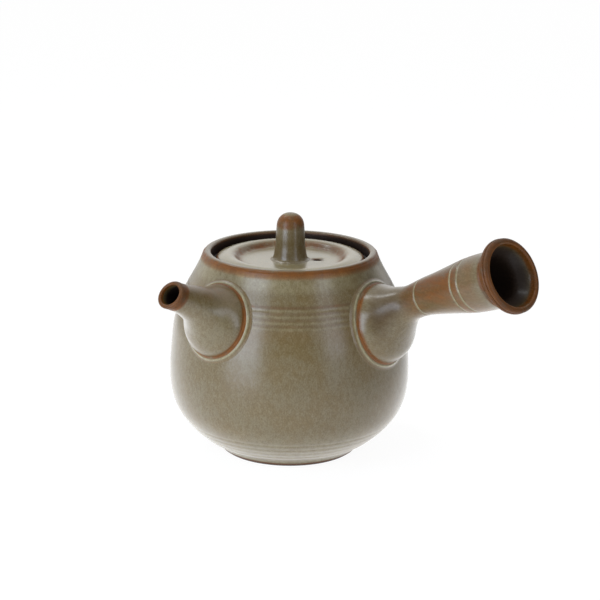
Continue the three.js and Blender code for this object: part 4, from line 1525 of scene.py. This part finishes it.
def make_floor(studio):
    half = studio.floor_size / 2
    corners = [(x * half, y * half, -studio.floor_sink) for x, y in ((-1, -1), (1, -1), (1, 1), (-1, 1))]
    mesh = bpy.data.meshes.new("floor")
    mesh.from_pydata(corners, [], [(0, 1, 2, 3)])
    floor = linked("floor", mesh)
    material = bpy.data.materials.new("Pale Floor")
    material.use_nodes = True
    tree = material.node_tree
    tree.nodes.clear()
    path = tree.nodes.new("ShaderNodeLightPath")
    straight = straight_ray(tree, path)
    # White with the object's shadow for the camera, plain lit paper for the rest
    paper = blended(tree, straight, PAPER, PAPER_ON_CAMERA)
    # Dimmer in the glaze far away, and on the camera's right, where the flag stands
    spot = add(tree, "ShaderNodeTexCoord").outputs["Object"]
    aside = dotted(tree, spot, sight(studio)[1])
    away = add(tree, "ShaderNodeVectorMath", {0: spot}, operation="LENGTH").outputs["Value"]
    shade = maths(
        tree, "MULTIPLY", spread(tree, aside, *FLOOR_ASIDE, 1.0, FLOOR_ASIDE_LEFT),
        spread(tree, away, *FLOOR_AWAY, 1.0, FLOOR_AWAY_LEFT),
    )
    mirrored = path.outputs["Is Glossy Ray"]
    dimmed = maths(tree, "MULTIPLY", mirrored, maths(tree, "SUBTRACT", 1.0, shade))
    paper = blended(tree, dimmed, paper, BLACK)
    in_gloss = maths(tree, "MULTIPLY", mirrored, shade)
    glow = summed(tree, (in_gloss, studio.mirrored_paper), (straight, studio.paper))
    lit = add(tree, "ShaderNodeBsdfDiffuse", {"Color": paper})
    white = add(tree, "ShaderNodeEmission", {"Strength": glow})
    both = add(tree, "ShaderNodeAddShader", {0: lit.outputs[0], 1: white.outputs[0]})
    output = tree.nodes.new("ShaderNodeOutputMaterial")
    tree.links.new(both.outputs[0], output.inputs["Surface"])
    mesh.materials.append(material)


def make_world(studio):
    world = bpy.data.worlds.new("Studio")
    bpy.context.scene.world = world
    world.use_nodes = True
    tree = world.node_tree
    tree.nodes.clear()
    # Pale walls all round, with a dark flag on the camera's right
    look, right = sight(studio)
    direction = add(tree, "ShaderNodeTexCoord").outputs["Generated"]
    walls = maths(
        tree, "MULTIPLY", spread(tree, dotted(tree, direction, right), *WALL_ASIDE, 1.0, studio.shade),
        spread(tree, dotted(tree, direction, look), *WALL_AHEAD, studio.front, 1.0),
    )
    path = tree.nodes.new("ShaderNodeLightPath")
    level = add(tree, "ShaderNodeMix", {
        "Factor": path.outputs["Is Glossy Ray"], 2: studio.room, 3: studio.mirrored,
    }).outputs[0]
    strength = maths(tree, "MULTIPLY", walls, level)
    straight = straight_ray(tree, path)
    strength = add(tree, "ShaderNodeMix", {"Factor": straight, 2: strength, 3: 1.0}).outputs[0]
    room = add(tree, "ShaderNodeBackground", {"Color": (1, 1, 1, 1), "Strength": strength})
    output = tree.nodes.new("ShaderNodeOutputWorld")
    tree.links.new(room.outputs[0], output.inputs["Surface"])


def make_lamp(name, spot, aim, width, height, watts, tint):
    lamp = bpy.data.lights.new(name, "AREA")
    lamp.shape = "RECTANGLE"
    lamp.size, lamp.size_y = width, height
    lamp.energy = watts
    lamp.color = tint
    obj = bpy.data.objects.new(name, lamp)
    obj.location = spot
    obj.rotation_euler = (Vector(aim) - Vector(spot)).to_track_quat("-Z", "Y").to_euler()
    obj.visible_camera = False
    bpy.context.scene.collection.objects.link(obj)


def make_lamps(studio):
    middle = Vector((0, 0, POT_HIGH.z / 2))
    for side, tint in (("left", LEFT_TINT), ("right", RIGHT_TINT)):
        angle, distance, width, height, watts = (
            getattr(studio, f"{side}_{size}") for size in ("turn", "distance", "width", "height", "power")
        )
        level = Vector((0, 0, height / 2))
        spot = Vector((math.cos(angle), math.sin(angle), 0)) * distance + level
        make_lamp(side + "_softbox", spot, level, width, height, watts, tint)
    size = studio.high_size
    for name, angle, rise in (
        ("high_lamp", studio.high_turn, studio.high_rise),
        ("low_high_lamp", studio.high_turn, studio.low_rise),
        ("top_lamp", studio.top_turn, studio.top_rise),
    ):
        out = math.cos(rise)
        spot = middle + Vector((out * math.cos(angle), out * math.sin(angle), math.sin(rise)))
        make_lamp(name, spot, middle, size, size, studio.high_power, DAYLIGHT)
    make_lamp(
        "table_glow", (0, 0, -studio.floor_sink / 2), (0, 0, 1), studio.table_size,
        studio.table_size, studio.table_power, (1, 1, 1),
    )


def make_camera(studio):
    camera = bpy.data.objects.new("camera", bpy.data.cameras.new("camera"))
    bpy.context.scene.collection.objects.link(camera)
    camera.data.lens = studio.lens
    camera.data.sensor_width = studio.sensor
    camera.data.clip_start, camera.data.clip_end = studio.near, studio.far
    camera.location = studio.camera_place
    look = sight(studio)[0].to_track_quat("-Z", "Y")
    camera.rotation_euler = (look @ Quaternion((0, 0, 1), studio.camera_roll)).to_euler()
    bpy.context.scene.camera = camera


class TEAPOT_PT_panel(bpy.types.Panel):
    bl_label = "Teapot"
    bl_idname = "TEAPOT_PT_panel"
    bl_space_type = "VIEW_3D"
    bl_region_type = "UI"
    bl_category = "Teapot"

    def draw(self, context):
        layout = self.layout
        for operator in OPERATORS:
            layout.operator(operator.bl_idname)
        settings = context.scene.teapot
        for key in TeapotSettings.__annotations__:
            box = layout.box()
            box.label(text=key.title())
            group = getattr(settings, key)
            for name in type(group).__annotations__:
                box.prop(group, name)


OPERATORS = (
    TEAPOT_OT_throw_pot, TEAPOT_OT_turn_lid, TEAPOT_OT_turn_knob, TEAPOT_OT_draw_handle,
    TEAPOT_OT_draw_spout, TEAPOT_OT_press_beads, TEAPOT_OT_pierce_strainer, TEAPOT_OT_set_studio,
)
GROUPS = (
    PotSizes, BandSizes, LineSizes, LidSizes, KnobSizes, HandleSizes, SpoutSizes, BeadSizes,
    StrainerSizes, GlazeSettings, StudioSettings, TeapotSettings,
)


def register():
    for cls in (*GROUPS, *OPERATORS, TEAPOT_PT_panel):
        bpy.utils.register_class(cls)
    bpy.types.Scene.teapot = PointerProperty(type=TeapotSettings)


def unregister():
    del bpy.types.Scene.teapot
    for cls in reversed((*GROUPS, *OPERATORS, TEAPOT_PT_panel)):
        bpy.utils.unregister_class(cls)


def main():
    register()
    bpy.ops.teapot.set_studio()
    bpy.ops.teapot.throw_pot()
    bpy.ops.teapot.turn_lid()
    bpy.ops.teapot.turn_knob()
    bpy.ops.teapot.draw_handle()
    bpy.ops.teapot.draw_spout()
    bpy.ops.teapot.press_beads()
    bpy.ops.teapot.pierce_strainer()


if __name__ == "__main__":
    main()
